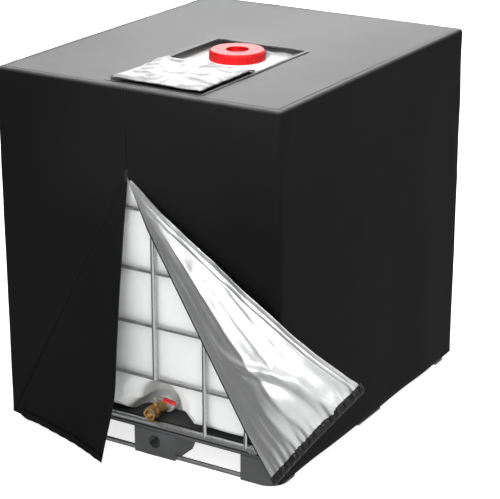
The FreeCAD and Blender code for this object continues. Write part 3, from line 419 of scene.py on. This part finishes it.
def capsule(name, length, width):
    """A small rod with tapered ends along Z, for a stitch or a tooth."""
    rings = [(-0.5, 0.35), (-0.3, 1.0), (0.3, 1.0), (0.5, 0.35)]  # height and width, as shares
    sides = 5
    turns = [2 * math.pi * k / sides for k in range(sides)]
    corners = [(width / 2 * r * math.cos(a), width / 2 * r * math.sin(a), length * h)
               for h, r in rings for a in turns]
    return mesh_object(name, corners, tube_faces(len(rings), sides), [])


def set_along(name, lines, item, pitch, material):
    """Copies of item at a pitch along lines, as one plain mesh."""
    path = bpy.data.curves.new(name + "_path", "CURVE")
    path.dimensions = "3D"
    for line in lines:
        spline = path.splines.new("POLY")
        spline.points.add(len(line) - 1)
        for point, place in zip(spline.points, line):
            point.co = (*place, 1)
    rail = link(bpy.data.objects.new(name + "_path", path))
    tree = bpy.data.node_groups.new(name + "_tree", "GeometryNodeTree")
    tree.interface.new_socket("Geometry", in_out="INPUT", socket_type="NodeSocketGeometry")
    pitch_input = tree.interface.new_socket("Pitch", in_out="INPUT", socket_type="NodeSocketFloat")
    item_input = tree.interface.new_socket("Item", in_out="INPUT", socket_type="NodeSocketObject")
    tree.interface.new_socket("Geometry", in_out="OUTPUT", socket_type="NodeSocketGeometry")
    nodes, links = tree.nodes, tree.links
    inputs, outputs = nodes.new("NodeGroupInput"), nodes.new("NodeGroupOutput")
    spread = nodes.new("GeometryNodeCurveToPoints")
    spread.mode = "LENGTH"
    info = nodes.new("GeometryNodeObjectInfo")
    copies = nodes.new("GeometryNodeInstanceOnPoints")
    real = nodes.new("GeometryNodeRealizeInstances")
    paint = nodes.new("GeometryNodeSetMaterial")
    paint.inputs["Material"].default_value = material
    links.new(inputs.outputs["Geometry"], spread.inputs["Curve"])
    links.new(inputs.outputs["Pitch"], spread.inputs["Length"])
    links.new(inputs.outputs["Item"], info.inputs["Object"])
    links.new(spread.outputs["Points"], copies.inputs["Points"])
    links.new(spread.outputs["Rotation"], copies.inputs["Rotation"])
    links.new(info.outputs["Geometry"], copies.inputs["Instance"])
    links.new(copies.outputs["Instances"], real.inputs["Geometry"])
    links.new(real.outputs["Geometry"], paint.inputs["Geometry"])
    links.new(paint.outputs["Geometry"], outputs.inputs["Geometry"])
    maker = rail.modifiers.new("copies", "NODES")
    maker.node_group = tree
    maker[pitch_input.identifier] = pitch
    maker[item_input.identifier] = item
    seen = rail.evaluated_get(bpy.context.evaluated_depsgraph_get())
    mesh = bpy.data.meshes.new_from_object(seen)
    bpy.data.objects.remove(rail)
    return link(bpy.data.objects.new(name, mesh))


stitch = capsule("stitch", 0.0038, 0.0011)
tooth = capsule("tooth", 0.0016, 0.0034)
stitch_pitch = 0.0052
tooth_pitch = 0.0029
seam_in = 0.018           # from the cover's edge to its top seam
seam_x, seam_y, seam_z = half_x - seam_in, half_y - seam_in, crown + 0.0004
seam_corners = [(-seam_x, -seam_y), (seam_x, -seam_y), (seam_x, seam_y), (-seam_x, seam_y), (-seam_x, -seam_y)]
top_seam = [(x, y, seam_z) for x, y in seam_corners]
seam_stitches = set_along("seam_stitches", [top_seam], stitch, stitch_pitch, thread_black)
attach(seam_stitches, "cover")

# ---- Front flap, right half -----------------------------------------------------------------------------
# The right half of the unzipped front, folded back over the panel and past the corner, silver side out. It
# rolls over at the fold line and puffs where the lining is loose.
slide_point = np.array([zip_x, zip_z])
right_foot = np.array([fold_foot, front_hem_z])
right_tip = np.array([0.775, 0.388])
roll = 0.010              # radius of the cloth's turn at the fold
first_rows = [0.018, 0.03, 0.045]  # closer rows beside the slider, as shares of the fold line
rows_from = 0.065
tape_full = 0.11          # the tape along the zip edge has its full width where the flap is wider than this
tape_seam = 0.0255        # from the zip edge to the tape's seam


def fold_frame(foot, free):
    """Unit vectors along the fold line and across it towards the flap's free side."""
    along = (foot - slide_point) / np.linalg.norm(foot - slide_point)
    across = np.array([along[1], -along[0]])
    return along, across if across @ (free - slide_point) > 0 else -across


right_along, right_across = fold_frame(right_foot, right_tip)
fold_length = np.linalg.norm(right_foot - slide_point)
tip_along = (right_tip - slide_point) @ right_along
tip_across = (right_tip - slide_point) @ right_across
edge_offsets = [0.034, 0.030, 0.027, tape_seam, 0.024, 0.021, 0.017, 0.0145, 0.013, 0.0115, 0.008, 0.005, 0.003,
                0.0]
puff = 0.052              # height of the loose lining's belly
main_fold_rise = 0.010    # the long fold from the slider to the hem
hang_back = 0.032         # how far the flap sinks past the container's corner
pucker_rise = 0.0035      # gathers above the hem
pucker_pitch = 0.030
# Creases down the flap: place across it and width as shares of its width, height, and where they begin.
creases = ((0.16, 0.022, 0.0035, 0.5), (0.27, 0.02, 0.004, 0.62), (0.40, 0.028, 0.003, 0.66),
           (0.55, 0.025, 0.0035, 0.2), (0.72, 0.02, 0.003, 0.35), (0.86, 0.02, 0.002, 0.15))


def ridge(v, centre, width):
    return np.exp(-((v - centre) / width) ** 2)


def across_places(width, count):
    """How narrow the zip tape gets on a flap of a width, and places across as shares, closer at the tape."""
    squeeze = min(1.0, width / tape_full)
    last = [1 - squeeze * d / width for d in edge_offsets]
    return squeeze, [*np.linspace(0, last[0], count)[:-1], *last]


def roll_at(u):
    """Radius of the roll at the fold, flatter at the slider and at the hem."""
    return roll * min(1.0, u / 0.16) * (1 - 0.6 * smooth_step(0.8, 1.0, u))


def right_point(u, v):
    """Place on the folded flap: u from the slider to the hem, v across from the fold to the zip edge."""
    r = roll_at(u)
    if v < 0:
        turn = (1 + v) * math.pi
        along, across, depth = u * fold_length, -r * math.sin(turn), r * (1 - math.cos(turn))
        return along, across, depth
    along = u * ((1 - v) * fold_length + v * tip_along)
    across = u * v * tip_across
    wobble = 0.05 * math.sin(5.2 * u + 0.6)
    belly = smooth_step(0.0, 0.46, v) * (1 - 0.93 * smooth_step(0.52, 1.0, v))
    depth = 2 * r + puff * belly * smooth_step(0.04, 0.62, u) * (1 - 0.25 * smooth_step(0.8, 1.0, u))
    sweep = 0.30 + 0.5 * smooth_step(0.55, 0.86, u)
    main_fold = ridge(v, sweep + wobble, 0.05) - ridge(v, sweep - 0.09 + wobble, 0.06)
    depth += main_fold_rise * smooth_step(0.3, 0.6, u) * main_fold
    for centre, width, height, start in creases:
        depth += height * ridge(v, centre + 0.6 * wobble, width) * smooth_step(start, start + 0.2, u)
    return along, across, depth


def right_grid():
    rows = []
    for u in [*first_rows, *np.linspace(rows_from, 1.0, 110)]:
        width = u * tip_across
        squeeze, places = across_places(width, 50)
        row = []
        for v in [*np.linspace(-1, -0.1, 8), *places]:
            along, across, depth = right_point(u, v)
            x, z = slide_point + along * right_along + across * right_across
            if v > 0:
                fade = smooth_step(0.0, 0.08, v) * smooth_step(0.02, 0.2, u)
                depth += fade * (0.0045 * noise.noise(Vector((along * 5, across * 16, 1.7))) +
                                 0.0020 * noise.noise(Vector((along * 22, across * 30, 4.1))))
                near_hem = smooth_step(0.90, 1.0, u)
                phase = 2 * noise.noise(Vector((across * 9, 0, 0)))
                pucker = math.sin(2 * math.pi * across / pucker_pitch + phase)
                depth += fade * near_hem * pucker_rise * pucker
                d = (1 - v) * width
                for groove, deep in ((0.013, 0.0016), (tape_seam, 0.0018)):
                    depth -= deep * squeeze * ridge(d, groove, 0.0014)
                depth += 0.0022 * squeeze * smooth_step(0.030, 0.022, d)
                # Past the corner the flap hangs back.
                depth = max(depth, 2 * roll_at(u)) - hang_back * smooth_step(0.52, 0.80, x)
            row.append((x, -half_y - depth, z))
        rows.append(row)
    return np.array(rows)


right_surface = right_grid()
rows, cols = right_surface.shape[:2]
right_flap = mesh_object("front_flap_right_cloth", right_surface.reshape(-1, 3), grid_faces(rows, cols),
                         [silver, black_cloth])
face_toward(right_flap, direction=(0, -1, 0))
fold_shade_rows = 8           # faces of the roll at the fold given the black cloth, as painted shade along the fold
# Painted shade: the first faces across the roll take the black cloth, to darken the fold line.
fold_shade_faces = np.arange(len(right_flap.data.polygons)) % (cols - 1) < fold_shade_rows
right_flap.data.polygons.foreach_set("material_index", fold_shade_faces.astype(np.int32))
thicken(right_flap, cloth)
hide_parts("front_flap_right")
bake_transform(right_flap)

right_edge = right_surface[6:, -1] + np.array([0.0012, -0.0004, 0.001])
right_teeth = set_along("zip_teeth_right", [right_edge], tooth, tooth_pitch, tooth_black)
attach(right_teeth, "flap_right")
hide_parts("tape_on_right_flap")

# ---- Front flap, left half ------------------------------------------------------------------------------
# The left half hangs from its fold line, black side out, and stands away from the cage. Its free corner curls
# outwards.
left_foot = np.array([-fold_foot, front_hem_z])
left_corner = np.array([zip_x - 0.003, front_hem_z])
left_along, left_across = fold_frame(left_foot, left_corner)
left_length = np.linalg.norm(left_foot - slide_point)
corner_along = (left_corner - slide_point) @ left_along
corner_across = (left_corner - slide_point) @ left_across
stand_out = math.radians(15.5)
corner_curl = 0.055       # how far the free corner bends out near the hem
corner_shift = 0.010      # how far the zip edge drifts to the right on its way down


def left_grid():
    rows = []
    for u in [*first_rows, *np.linspace(rows_from, 1.0, 96)]:
        width = u * corner_across
        squeeze, places = across_places(width, 48)
        row = []
        for v in places:
            along = u * ((1 - v) * left_length + v * corner_along)
            across = u * v * corner_across
            ease = smooth_step(0.0, 0.05, across)
            shorter = 1 - ease * (1 - math.cos(stand_out))
            x, z = slide_point + along * left_along + across * shorter * left_across
            depth = across * math.sin(stand_out) * (0.55 + 0.45 * ease)
            curl = smooth_step(0.24, 0.0, z) * v ** 2.6
            depth += corner_curl * curl
            x += corner_shift * v * smooth_step(0.6, 0.0, z)
            bow = 0.012 * math.sin(math.pi * min(1.0, v)) * smooth_step(0.2, 0.9, u)
            ripple = 0.003 * noise.noise(Vector((x * 9, z * 2.4, 8.2)))
            ripple += 0.0014 * noise.noise(Vector((x * 30, z * 9, 2.2)))
            depth += smooth_step(0.0, 0.06, across) * (ripple + bow * 0.4)
            pucker = 0.0010 * math.sin(2 * math.pi * across / 0.041)
            depth += smooth_step(0.93, 1.0, u) * smooth_step(0, 0.05, across) * pucker
            depth -= 0.0014 * squeeze * ridge((1 - v) * width, tape_seam, 0.0016)
            row.append((x, -half_y - depth, z))
        rows.append(row)
    return np.array(rows)


left_surface = left_grid()
rows, cols = left_surface.shape[:2]
left_flap = mesh_object("front_flap_left_cloth", left_surface.reshape(-1, 3), grid_faces(rows, cols),
                        [black_cloth, silver])
face_toward(left_flap, direction=(0, -1, 0))
thicken(left_flap, cloth)
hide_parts("front_flap_left")
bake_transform(left_flap)

left_edge = left_surface[6:, -1] + np.array([0.001, -0.0002, 0])
left_teeth = set_along("zip_teeth_left", [left_edge], tooth, tooth_pitch, tooth_black)
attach(left_teeth, "flap_left")
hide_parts("tape_on_left_flap")

# ---- Gathered hems --------------------------------------------------------------------------------------
# An elastic cord in a channel of satin tape draws the cover's lower edge together into small puckers.
satin, parts = grain_finish("hem_satin", (0.010, 0.010, 0.011), 0.24, spread=0.2, blotch=30.0, grain=700.0)
parts["shader"].inputs["Specular IOR Level"].default_value = 0.35
parts["relief"].inputs["Distance"].default_value = 0.0003


def resample(line, step):
    line = np.array(line, float)
    gone = np.concatenate([[0], np.cumsum(np.linalg.norm(np.diff(line, axis=0), axis=1))])
    at = np.linspace(0, gone[-1], max(3, int(gone[-1] / step)))
    return np.stack([np.interp(at, gone, line[:, k]) for k in range(3)], axis=1), at


def frame_along(line, step, up):
    """Points at a step along a line, how far along it each lies, and the direction out of its side at each."""
    centre, at = resample(line, step)
    tangent = np.gradient(centre, axis=0)
    tangent /= np.linalg.norm(tangent, axis=1)[:, None]
    side = np.cross(tangent, np.broadcast_to(np.array(up, float), centre.shape))
    return centre, at, side / np.linalg.norm(side, axis=1)[:, None]


def tube(name, rings, material):
    """A closed tube. rings holds one line of points for each of its sides."""
    grid = np.stack(rings, axis=1)
    made = mesh_object(name, grid.reshape(-1, 3), tube_faces(len(grid), len(rings)), [material])
    clean(made)
    return made


def gathered_hem(name, line, up, height, fat, pucker, seed, material):
    """A puckered channel along a line. up is the direction from the hem into the cloth."""
    centre, at, side = frame_along(line, 0.0026, up)
    sides = 18
    rings = []
    for k in range(sides):
        a = 2 * math.pi * k / sides
        swell = []
        for s in at:
            gather = math.sin(2 * math.pi * s / 0.013 + 3.0 * noise.noise(Vector((s * 30, a, seed))))
            crinkle = noise.noise(Vector((s * 90, 2.2 * math.cos(a), seed + 3)))
            swell.append(1 + pucker * (0.55 * gather * (0.6 + 0.4 * math.cos(a)) + 0.9 * crinkle))
        swell = np.array(swell)
        lift = height / 2 * (1 + math.cos(a) * (1 + 0.1 * (swell - 1)))
        bulge = side * (fat / 2 * math.sin(a) * swell)[:, None]
        rings.append(centre + np.array(up, float) * lift[:, None] + bulge)
    return tube(name, rings, material)


hem_drop = 0.003          # from the cloth's edge down to the hem's lowest line
right_hem_line = right_surface[-1, 8:]
hem_up = -np.array([right_along[0], 0, right_along[1]])
right_hem = gathered_hem("hem_right_flap", right_hem_line - hem_drop * hem_up, hem_up,
                         height=0.028, fat=0.012, pucker=0.55, seed=1.0, material=satin)
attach(right_hem, "flap_right")
left_hem_line = left_surface[-1, 4:]
left_hem = gathered_hem("hem_left_flap", left_hem_line - np.array([0, 0, hem_drop]), (0, 0, 1),
                        height=0.024, fat=0.006, pucker=0.30, seed=2.0, material=black_cloth)
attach(left_hem, "flap_left")
hem_path = [(x, y, hem_z - hem_drop) for x, y in ((-half_x, -core_y), (-half_x, core_y), (-core_x, half_y),
                                                  (core_x, half_y), (half_x, core_y), (half_x, -core_y))]
shell_hem = gathered_hem("hem_shell", hem_path, (0, 0, 1),
                         height=0.022, fat=0.006, pucker=0.20, seed=3.0, material=black_cloth)
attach(shell_hem, "cover")

# ---- Window in the top ----------------------------------------------------------------------------------
# A rectangular opening over the lid, edged with black tape. Its flap is zipped in place in front and folded
# forward over itself behind, crumpled lining up.
tape_black, _ = cloth_finish("black_tape", (0.015, 0.015, 0.016), 0.42, 0.2, 0.3)


def window_edge(z, inset):
    """The window's outline, moved inwards by an inset."""
    low, high = window_low, window_high
    x0, y0, x1, y1 = low.x + inset, low.y + inset, high.x - inset, high.y - inset
    return [(x, y, z) for x, y in ((x0, y0), (x1, y0), (x1, y1), (x0, y1), (x0, y0))]


def taped_edge(name, line, width, fat, pucker, seed, body):
    """A soft tape folded over a cloth edge that lies flat."""
    centre, at, side = frame_along(line, 0.004, (0, 0, 1))
    sides = 12
    rings = []
    for k in range(sides):
        a = 2 * math.pi * k / sides
        swell = np.array([1 + pucker * noise.noise(Vector((s * 55, 1.5 * math.cos(a), seed))) for s in at])
        lift = np.array([0.6 * pucker * fat * noise.noise(Vector((s * 28, 5.5, seed))) for s in at])
        place = centre + side * (width / 2 * math.cos(a) * (0.85 + 0.15 * swell))[:, None]
        place[:, 2] += fat / 2 * math.sin(a) * swell + np.maximum(lift, -fat * 0.1)
        rings.append(place)
    made = tube(name, rings, tape_black)
    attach(made, body)
    return made


binding = taped_edge("window_tape", window_edge(crown + 0.0008, -0.004),
                     width=0.014, fat=0.0034, pucker=0.5, seed=2.0, body="cover")
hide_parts("window_binding")

panel_x = np.linspace(window_low.x, window_high.x, 50)
panel_y = np.linspace(window_low.y, fold_y, 46)
panel = np.array([[(x, y, crown - 0.0006 + 0.0010 * noise.noise(Vector((x * 14, y * 14, 3)))) for y in panel_y]
                  for x in panel_x])
window_cloth = mesh_object("window_panel_cloth", panel.reshape(-1, 3), grid_faces(*panel.shape[:2]),
                           [black_cloth, silver])
face_toward(window_cloth, direction=(0, 0, 1))
thicken(window_cloth, cloth)
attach(window_cloth, "cover")
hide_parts("window_panel")


def crumple(x, y):
    """Height of the crumpled lining over its lowest level: sharp little folds over soft ones."""
    p = Vector((x, y, 0.3))
    big = noise.noise(p * 9)
    folds = 1 - abs(noise.noise(p * 17 + Vector((3, 1, 0)) + 0.25 * Vector((big, big, 0)))) * 2.2
    small = 1 - abs(noise.noise(p * 38 + Vector((7, 2, 0)))) * 2
    return 0.0040 + 0.0042 * big + 0.0058 * max(0.0, folds) ** 2 + 0.0010 * max(0.0, small)


turn_radius = 0.0036
thin_cloth = 0.0012
flap_inset = 0.004
flap_near = window_low.y + flap_inset


def window_flap_grid():
    rows = []
    lines = 96
    for i, x in enumerate(np.linspace(window_low.x + flap_inset, window_high.x - flap_inset, lines)):
        share = i / (lines - 1)
        row = []
        for a in np.linspace(0, math.pi, 7):
            row.append((x, fold_y + turn_radius * math.sin(a), crown + turn_radius * (1 - math.cos(a))))
        for s in np.linspace(0.004, 1, 88):
            y = fold_y + (flap_near - fold_y) * s
            side = min(share, 1 - share)
            pull = 0.012 * s * (0.5 - share) * (1 + noise.noise(Vector((0, y * 6, 5))))
            ragged = 0.004 * noise.noise(Vector((x * 12, 7, 1))) * s
            rim = smooth_step(0.0, 0.03, side) * smooth_step(1.0, 0.94, s)
            rise = crumple(x, y) * (0.35 + 0.65 * rim) * smooth_step(0.0, 0.08, s)
            row.append((x + pull, y + ragged, crown + 2 * turn_radius + rise))
        rows.append(row)
    return np.array(rows)


flap_surface = window_flap_grid()
rows, cols = flap_surface.shape[:2]
window_flap = mesh_object("window_flap_cloth", flap_surface.reshape(-1, 3), grid_faces(rows, cols),
                          [shaded_silver_lining, black_cloth])
face_toward(window_flap, direction=(0, 0, 1))
thicken(window_flap, thin_cloth)
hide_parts("window_flap")
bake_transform(window_flap)
flap_rim = [*flap_surface[0, 10:], *flap_surface[1:-1, -1], *flap_surface[-1, :9:-1]]
taped_edge("window_flap_tape", flap_rim, width=0.0075, fat=0.0034, pucker=0.7, seed=6.0, body="window_flap")

# ---- Bottle ---------------------------------------------------------------------------------------------
# Blow-moulded white polyethylene. The wall swells a little between the tubes of the cage, and an arched recess
# in the front leaves room for the valve.
white_plastic, parts = grain_finish("bottle_polyethylene", (0.66, 0.67, 0.665), 0.34, spread=0.03, blotch=3.0,
                                    grain=160.0)
parts["relief"].inputs["Distance"].default_value = 0.0004
parts["shader"].inputs["Subsurface Weight"].default_value = 0.12
parts["shader"].inputs["Subsurface Radius"].default_value = (0.02, 0.02, 0.02)
bottle_low, bottle_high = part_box("bottle")
neck_top = bottle_high.z
neck_height = 0.034
bottle_top = neck_top - neck_height
dome_rise = 0.009
dome_swell = 0.0065       # by which the filled bottle's top stands higher still
wall_x, wall_y = bottle_high.x, bottle_high.y
hoops = [(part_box(f"cage_hoop_{i}")[0].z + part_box(f"cage_hoop_{i}")[1].z) / 2 for i in range(1, 6)]
levels = [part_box("cage_base_rail")[1].z - 0.006, *hoops, bottle_top - 0.004]
side_posts = [-0.480, -0.345, -0.207, -0.069, 0.069, 0.207, 0.345, 0.480]
front_posts = [-0.386, -0.252, -0.119, 0.055, 0.235, 0.382]
back_posts = [-0.386, -0.246, -0.088, 0.088, 0.246, 0.386]
corner_x, corner_y = 0.428, 0.520
swell_out = 0.0105


def cell_swell(value, stops):
    """From 0 at a tube to 1 in the middle between two."""
    for a, b in zip(stops, stops[1:]):
        if a <= value <= b:
            t = (value - a) / (b - a)
            return min(1.0, math.sin(math.pi * t) * 1.35) ** 0.8
    return 0.0


recess_x = 0.055
recess_half = 0.072
recess_spring = 0.167     # height at which the arch begins
recess_back = -wall_y + 0.110
low_posts = [-0.246, recess_x, 0.246]
top_half_x, top_half_y, top_middle_y = 0.336, 0.283, -0.008  # the raised field around the neck


def bottle_points():
    xs = lines_between(-wall_x, wall_x, 0.0125)
    ys = lines_between(-wall_y, wall_y, 0.0145)
    zs = lines_between(bottle_low.z, bottle_top, 0.0135)
    grids = [[[(x, y, z) for y in ys] for x in xs] for z in (bottle_low.z, bottle_top)]
    grids += [[[(x, y, z) for z in zs] for x in xs] for y in (-wall_y, wall_y)]
    grids += [[[(x, y, z) for z in zs] for y in ys] for x in (-wall_x, wall_x)]
    return grids


points, faces = [], []
for patch in bottle_points():
    add_patch(patch)
flat = np.array(points)
bend, brim, base_round = 0.070, 0.038, 0.058
middle = np.clip(flat, [-wall_x + bend, -wall_y + bend, bottle_low.z + base_round],
                 [wall_x - bend, wall_y - bend, bottle_top - brim])
out = flat - middle
sideways = np.full(len(flat), bend)
reach = np.stack([sideways, sideways, np.where(out[:, 2] < 0, base_round, brim)], axis=1)
out = out / reach
out = out / np.linalg.norm(out, axis=1)[:, None] * reach
direction = out / np.linalg.norm(out, axis=1)[:, None]
swell = np.zeros(len(flat))
for i, (x, y, z) in enumerate(flat):
    up = cell_swell(z, levels)
    if abs(abs(y) - wall_y) < 1e-6 and abs(x) < corner_x:
        posts = front_posts if y < 0 else back_posts
        swell[i] = up * cell_swell(x, [-corner_x, *posts, corner_x])
        if y < 0:
            gap = max(abs(x - recess_x) - recess_half, z - recess_spring - recess_half, 0)
            away = smooth_step(0.0, 0.03, gap)
            swell[i] *= away
            if z < hoops[0]:
                swell[i] = max(swell[i], 0.8 * up * away * cell_swell(x, low_posts))
    elif abs(abs(x) - wall_x) < 1e-6 and abs(y) < corner_y:
        swell[i] = up * cell_swell(y, [-corner_y, *side_posts, corner_y])
    elif abs(z - bottle_top) < 1e-6:
        inside = min(top_half_x - abs(x), top_half_y - abs(y - top_middle_y))
        swell[i] = (dome_rise + dome_swell) / swell_out * smooth_step(0.0, 0.016, inside)
pillowed = middle + out + direction * (swell_out * swell)[:, None]
bottle = mesh_object("bottle_body", pillowed, faces, [white_plastic])
clean(bottle, seam_join)
face_toward(bottle, centre=(0, 0, 0.6))


def arch_line(grow):
    """Outline of the recess, grown outwards: left foot, arch, right foot, with both feet flared."""
    half = recess_half + grow
    low = bottle_low.z - 0.05
    upright = np.linspace(bottle_low.z, recess_spring, 15)[1:]
    heights = np.concatenate([np.linspace(low, bottle_low.z, 3), upright])
    flare = 0.052 * smooth_step(bottle_low.z + 0.082, bottle_low.z, heights)
    sides = [(half + f, z) for f, z in zip(flare, heights)]
    turns = np.linspace(math.pi, 0, 26)
    arch = [(recess_x + half * math.cos(a), recess_spring + half * math.sin(a)) for a in turns]
    feet = sides[:-1]
    return [*[(recess_x - w, z) for w, z in feet], *arch, *[(recess_x + w, z) for w, z in reversed(feet)]]


# How far the outline has grown at each depth behind the wall: a rounded lip, plain sides and a rounded back.
recess_sections = [(0.090, -0.030), (0.040, -0.004), (0.026, 0.001), (0.014, 0.006), (0.006, 0.013),
                   (0.0015, 0.021), (0.0, 0.030), (-0.003, 0.078), (-0.007, 0.094), (-0.015, 0.105),
                   (-0.028, 0.110)]
rings = [[(x, -wall_y + depth, z) for x, z in arch_line(grow)] for grow, depth in recess_sections]
corners = [p for ring in rings for p in ring]
skin = tube_faces(len(rings), len(rings[0]))
cutter = mesh_object("recess_cutter", corners, skin, [])
clean(cutter, 1e-5)
carve = bottle.modifiers.new("recess", "BOOLEAN")
carve.operation = "DIFFERENCE"
carve.solver = "EXACT"
carve.object = cutter
carved = bpy.data.meshes.new_from_object(bottle.evaluated_get(bpy.context.evaluated_depsgraph_get()))
bottle.modifiers.clear()
bottle.data = carved
bpy.data.objects.remove(cutter)
carved.polygons.foreach_set("use_smooth", [True] * len(carved.polygons))
carved.set_sharp_from_angle(angle=math.radians(42))
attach(bottle, "container")
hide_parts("bottle")


def lathe(name, profile, centre, axis, material, steps=96):
    """A turned piece from (radius, place along the axis) pairs."""
    turns = [2 * math.pi * k / steps for k in range(steps)]
    rings = []
    for radius, along in profile:
        circle = [(centre[0] + radius * math.cos(a), centre[1] + radius * math.sin(a)) for a in turns]
        rings.append([(x, y, along) if axis == "Z" else (x, along, y) for x, y in circle])
    skin = [(i * steps + k, i * steps + (k + 1) % steps, ((i + 1) % len(rings)) * steps + (k + 1) % steps,
             ((i + 1) % len(rings)) * steps + k) for i in range(len(rings)) for k in range(steps)]
    made = mesh_object(name, [p for ring in rings for p in ring], skin, [material])
    clean(made, 1e-6)
    made.data.set_sharp_from_angle(angle=math.radians(35))
    return made


lid_low, lid_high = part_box("lid")
lid_x, lid_y = (lid_low.x + lid_high.x) / 2, (lid_low.y + lid_high.y) / 2
neck_base = bottle_top + dome_rise
neck_bore, neck_radius, collar_radius, thread_rise, thread_pitch = 0.075, 0.080, 0.092, 0.0016, 0.0013
thread = [(neck_radius + (thread_rise if k % 3 == 1 else 0.0), neck_base + 0.0105 + thread_pitch * k)
          for k in range(10)]
neck_profile = [(neck_bore, neck_base - 0.012), (0.096, neck_base - 0.003), (0.0935, neck_base + 0.001),
                (collar_radius, neck_base + 0.003), (collar_radius, neck_base + 0.007),
                (0.091, neck_base + 0.008), (neck_radius, neck_base + 0.0085), *thread,
                (neck_radius, neck_top - 0.001), (0.079, neck_top), (0.076, neck_top),
                (neck_bore, neck_top - 0.001)]
neck = lathe("bottle_neck", neck_profile, (lid_x, lid_y), "Z", white_plastic)
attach(neck, "container")
adaptor_low, adaptor_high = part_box("outlet_adaptor")
valve_x = (adaptor_low.x + adaptor_high.x) / 2
valve_z = (adaptor_low.z + adaptor_high.z) / 2
spout_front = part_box("outlet_gasket")[1].y
spout_bore, spout_radius = 0.019, 0.024
spout_profile = [(spout_bore, spout_front), (0.0235, spout_front), (spout_radius, spout_front + 0.0008),
                 (spout_radius, recess_back - 0.004), (0.030, recess_back + 0.003),
                 (spout_bore, recess_back + 0.004)]
spout = lathe("bottle_spout", spout_profile, (valve_x, valve_z), "Y", white_plastic, 64)
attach(spout, "container")

# ---- Cage, valve, lid and pallet: finishes on the built parts -------------------------------------------
# Each keeps its own shape and gets its real finish.
def dress(node, material):
    thing = frame["nodes"][node]
    thing.data.materials.clear()
    thing.data.materials.append(material)


galvanised, parts = grain_finish("galvanised_steel", (0.62, 0.625, 0.63), 0.22, metal=1.0, spread=0.035,
                                 blotch=14.0, grain=260.0, bump=0.15)
spangle = galvanised.node_tree.nodes.new("ShaderNodeTexVoronoi")
spangle.inputs["Scale"].default_value = 120.0
galvanised.node_tree.links.new(parts["place"].outputs["Object"], spangle.inputs["Vector"])
galvanised.node_tree.links.new(spangle.outputs["Distance"], parts["ramp"].inputs["Fac"])
parts["ramp"].color_ramp.elements[0].position = 0.0
parts["ramp"].color_ramp.elements[1].position = 0.8
pallet_plastic, _ = grain_finish("pallet_plastic", (0.055, 0.056, 0.058), 0.55, spread=0.15,
                                 blotch=9.0, grain=650.0)
zinc, _ = grain_finish("zinc_plate", (0.62, 0.62, 0.60), 0.32, metal=1.0, spread=0.08, blotch=60.0, grain=900.0)
brass, parts = grain_finish("brass", (0.62, 0.40, 0.17), 0.30, metal=1.0, spread=0.22, blotch=70.0, grain=900.0)
parts["relief"].inputs["Distance"].default_value = 0.0004
red_lid, parts = grain_finish("red_lid_plastic", (0.35, 0.003, 0.004), 0.36, spread=0.05,
                              blotch=12.0, grain=700.0)
parts["shader"].inputs["Specular IOR Level"].default_value = 0.15
red_vinyl, _ = grain_finish("red_vinyl", (0.78, 0.02, 0.02), 0.38, spread=0.06, blotch=60.0, grain=900.0)
steel, _ = grain_finish("nickel_plate", (0.66, 0.65, 0.62), 0.25, metal=1.0, spread=0.06,
                        blotch=90.0, grain=1500.0)
rubber, _ = grain_finish("black_rubber", (0.02, 0.02, 0.02), 0.65, spread=0.1, blotch=40.0, grain=900.0)
nylon, _ = grain_finish("white_nylon", (0.78, 0.78, 0.75), 0.4, spread=0.03, blotch=40.0, grain=900.0)
lacquer, _ = grain_finish("slider_lacquer", (0.03, 0.03, 0.031), 0.3, metal=0.4, spread=0.1,
                          blotch=150.0, grain=2000.0)
by_slot = {"galvanised_tube": galvanised, "pallet_plastic": pallet_plastic, "zinc_screw": zinc, "brass": brass,
           "red_plastic": red_lid, "red_vinyl": red_vinyl, "plated_steel": steel, "rubber_seal": rubber,
           "white_plastic": nylon, "seat_plastic": nylon, "black_zinc": lacquer, "zip_teeth": tooth_black,
           "black_tape": tape_black, "cover_cloth": black_cloth, "bottle_plastic": white_plastic}
for entry in frame["record"]["subparts"]:
    dress(entry["node"], by_slot[entry["material_slot"]])
for spare in (stitch, tooth):
    bpy.data.objects.remove(spare)
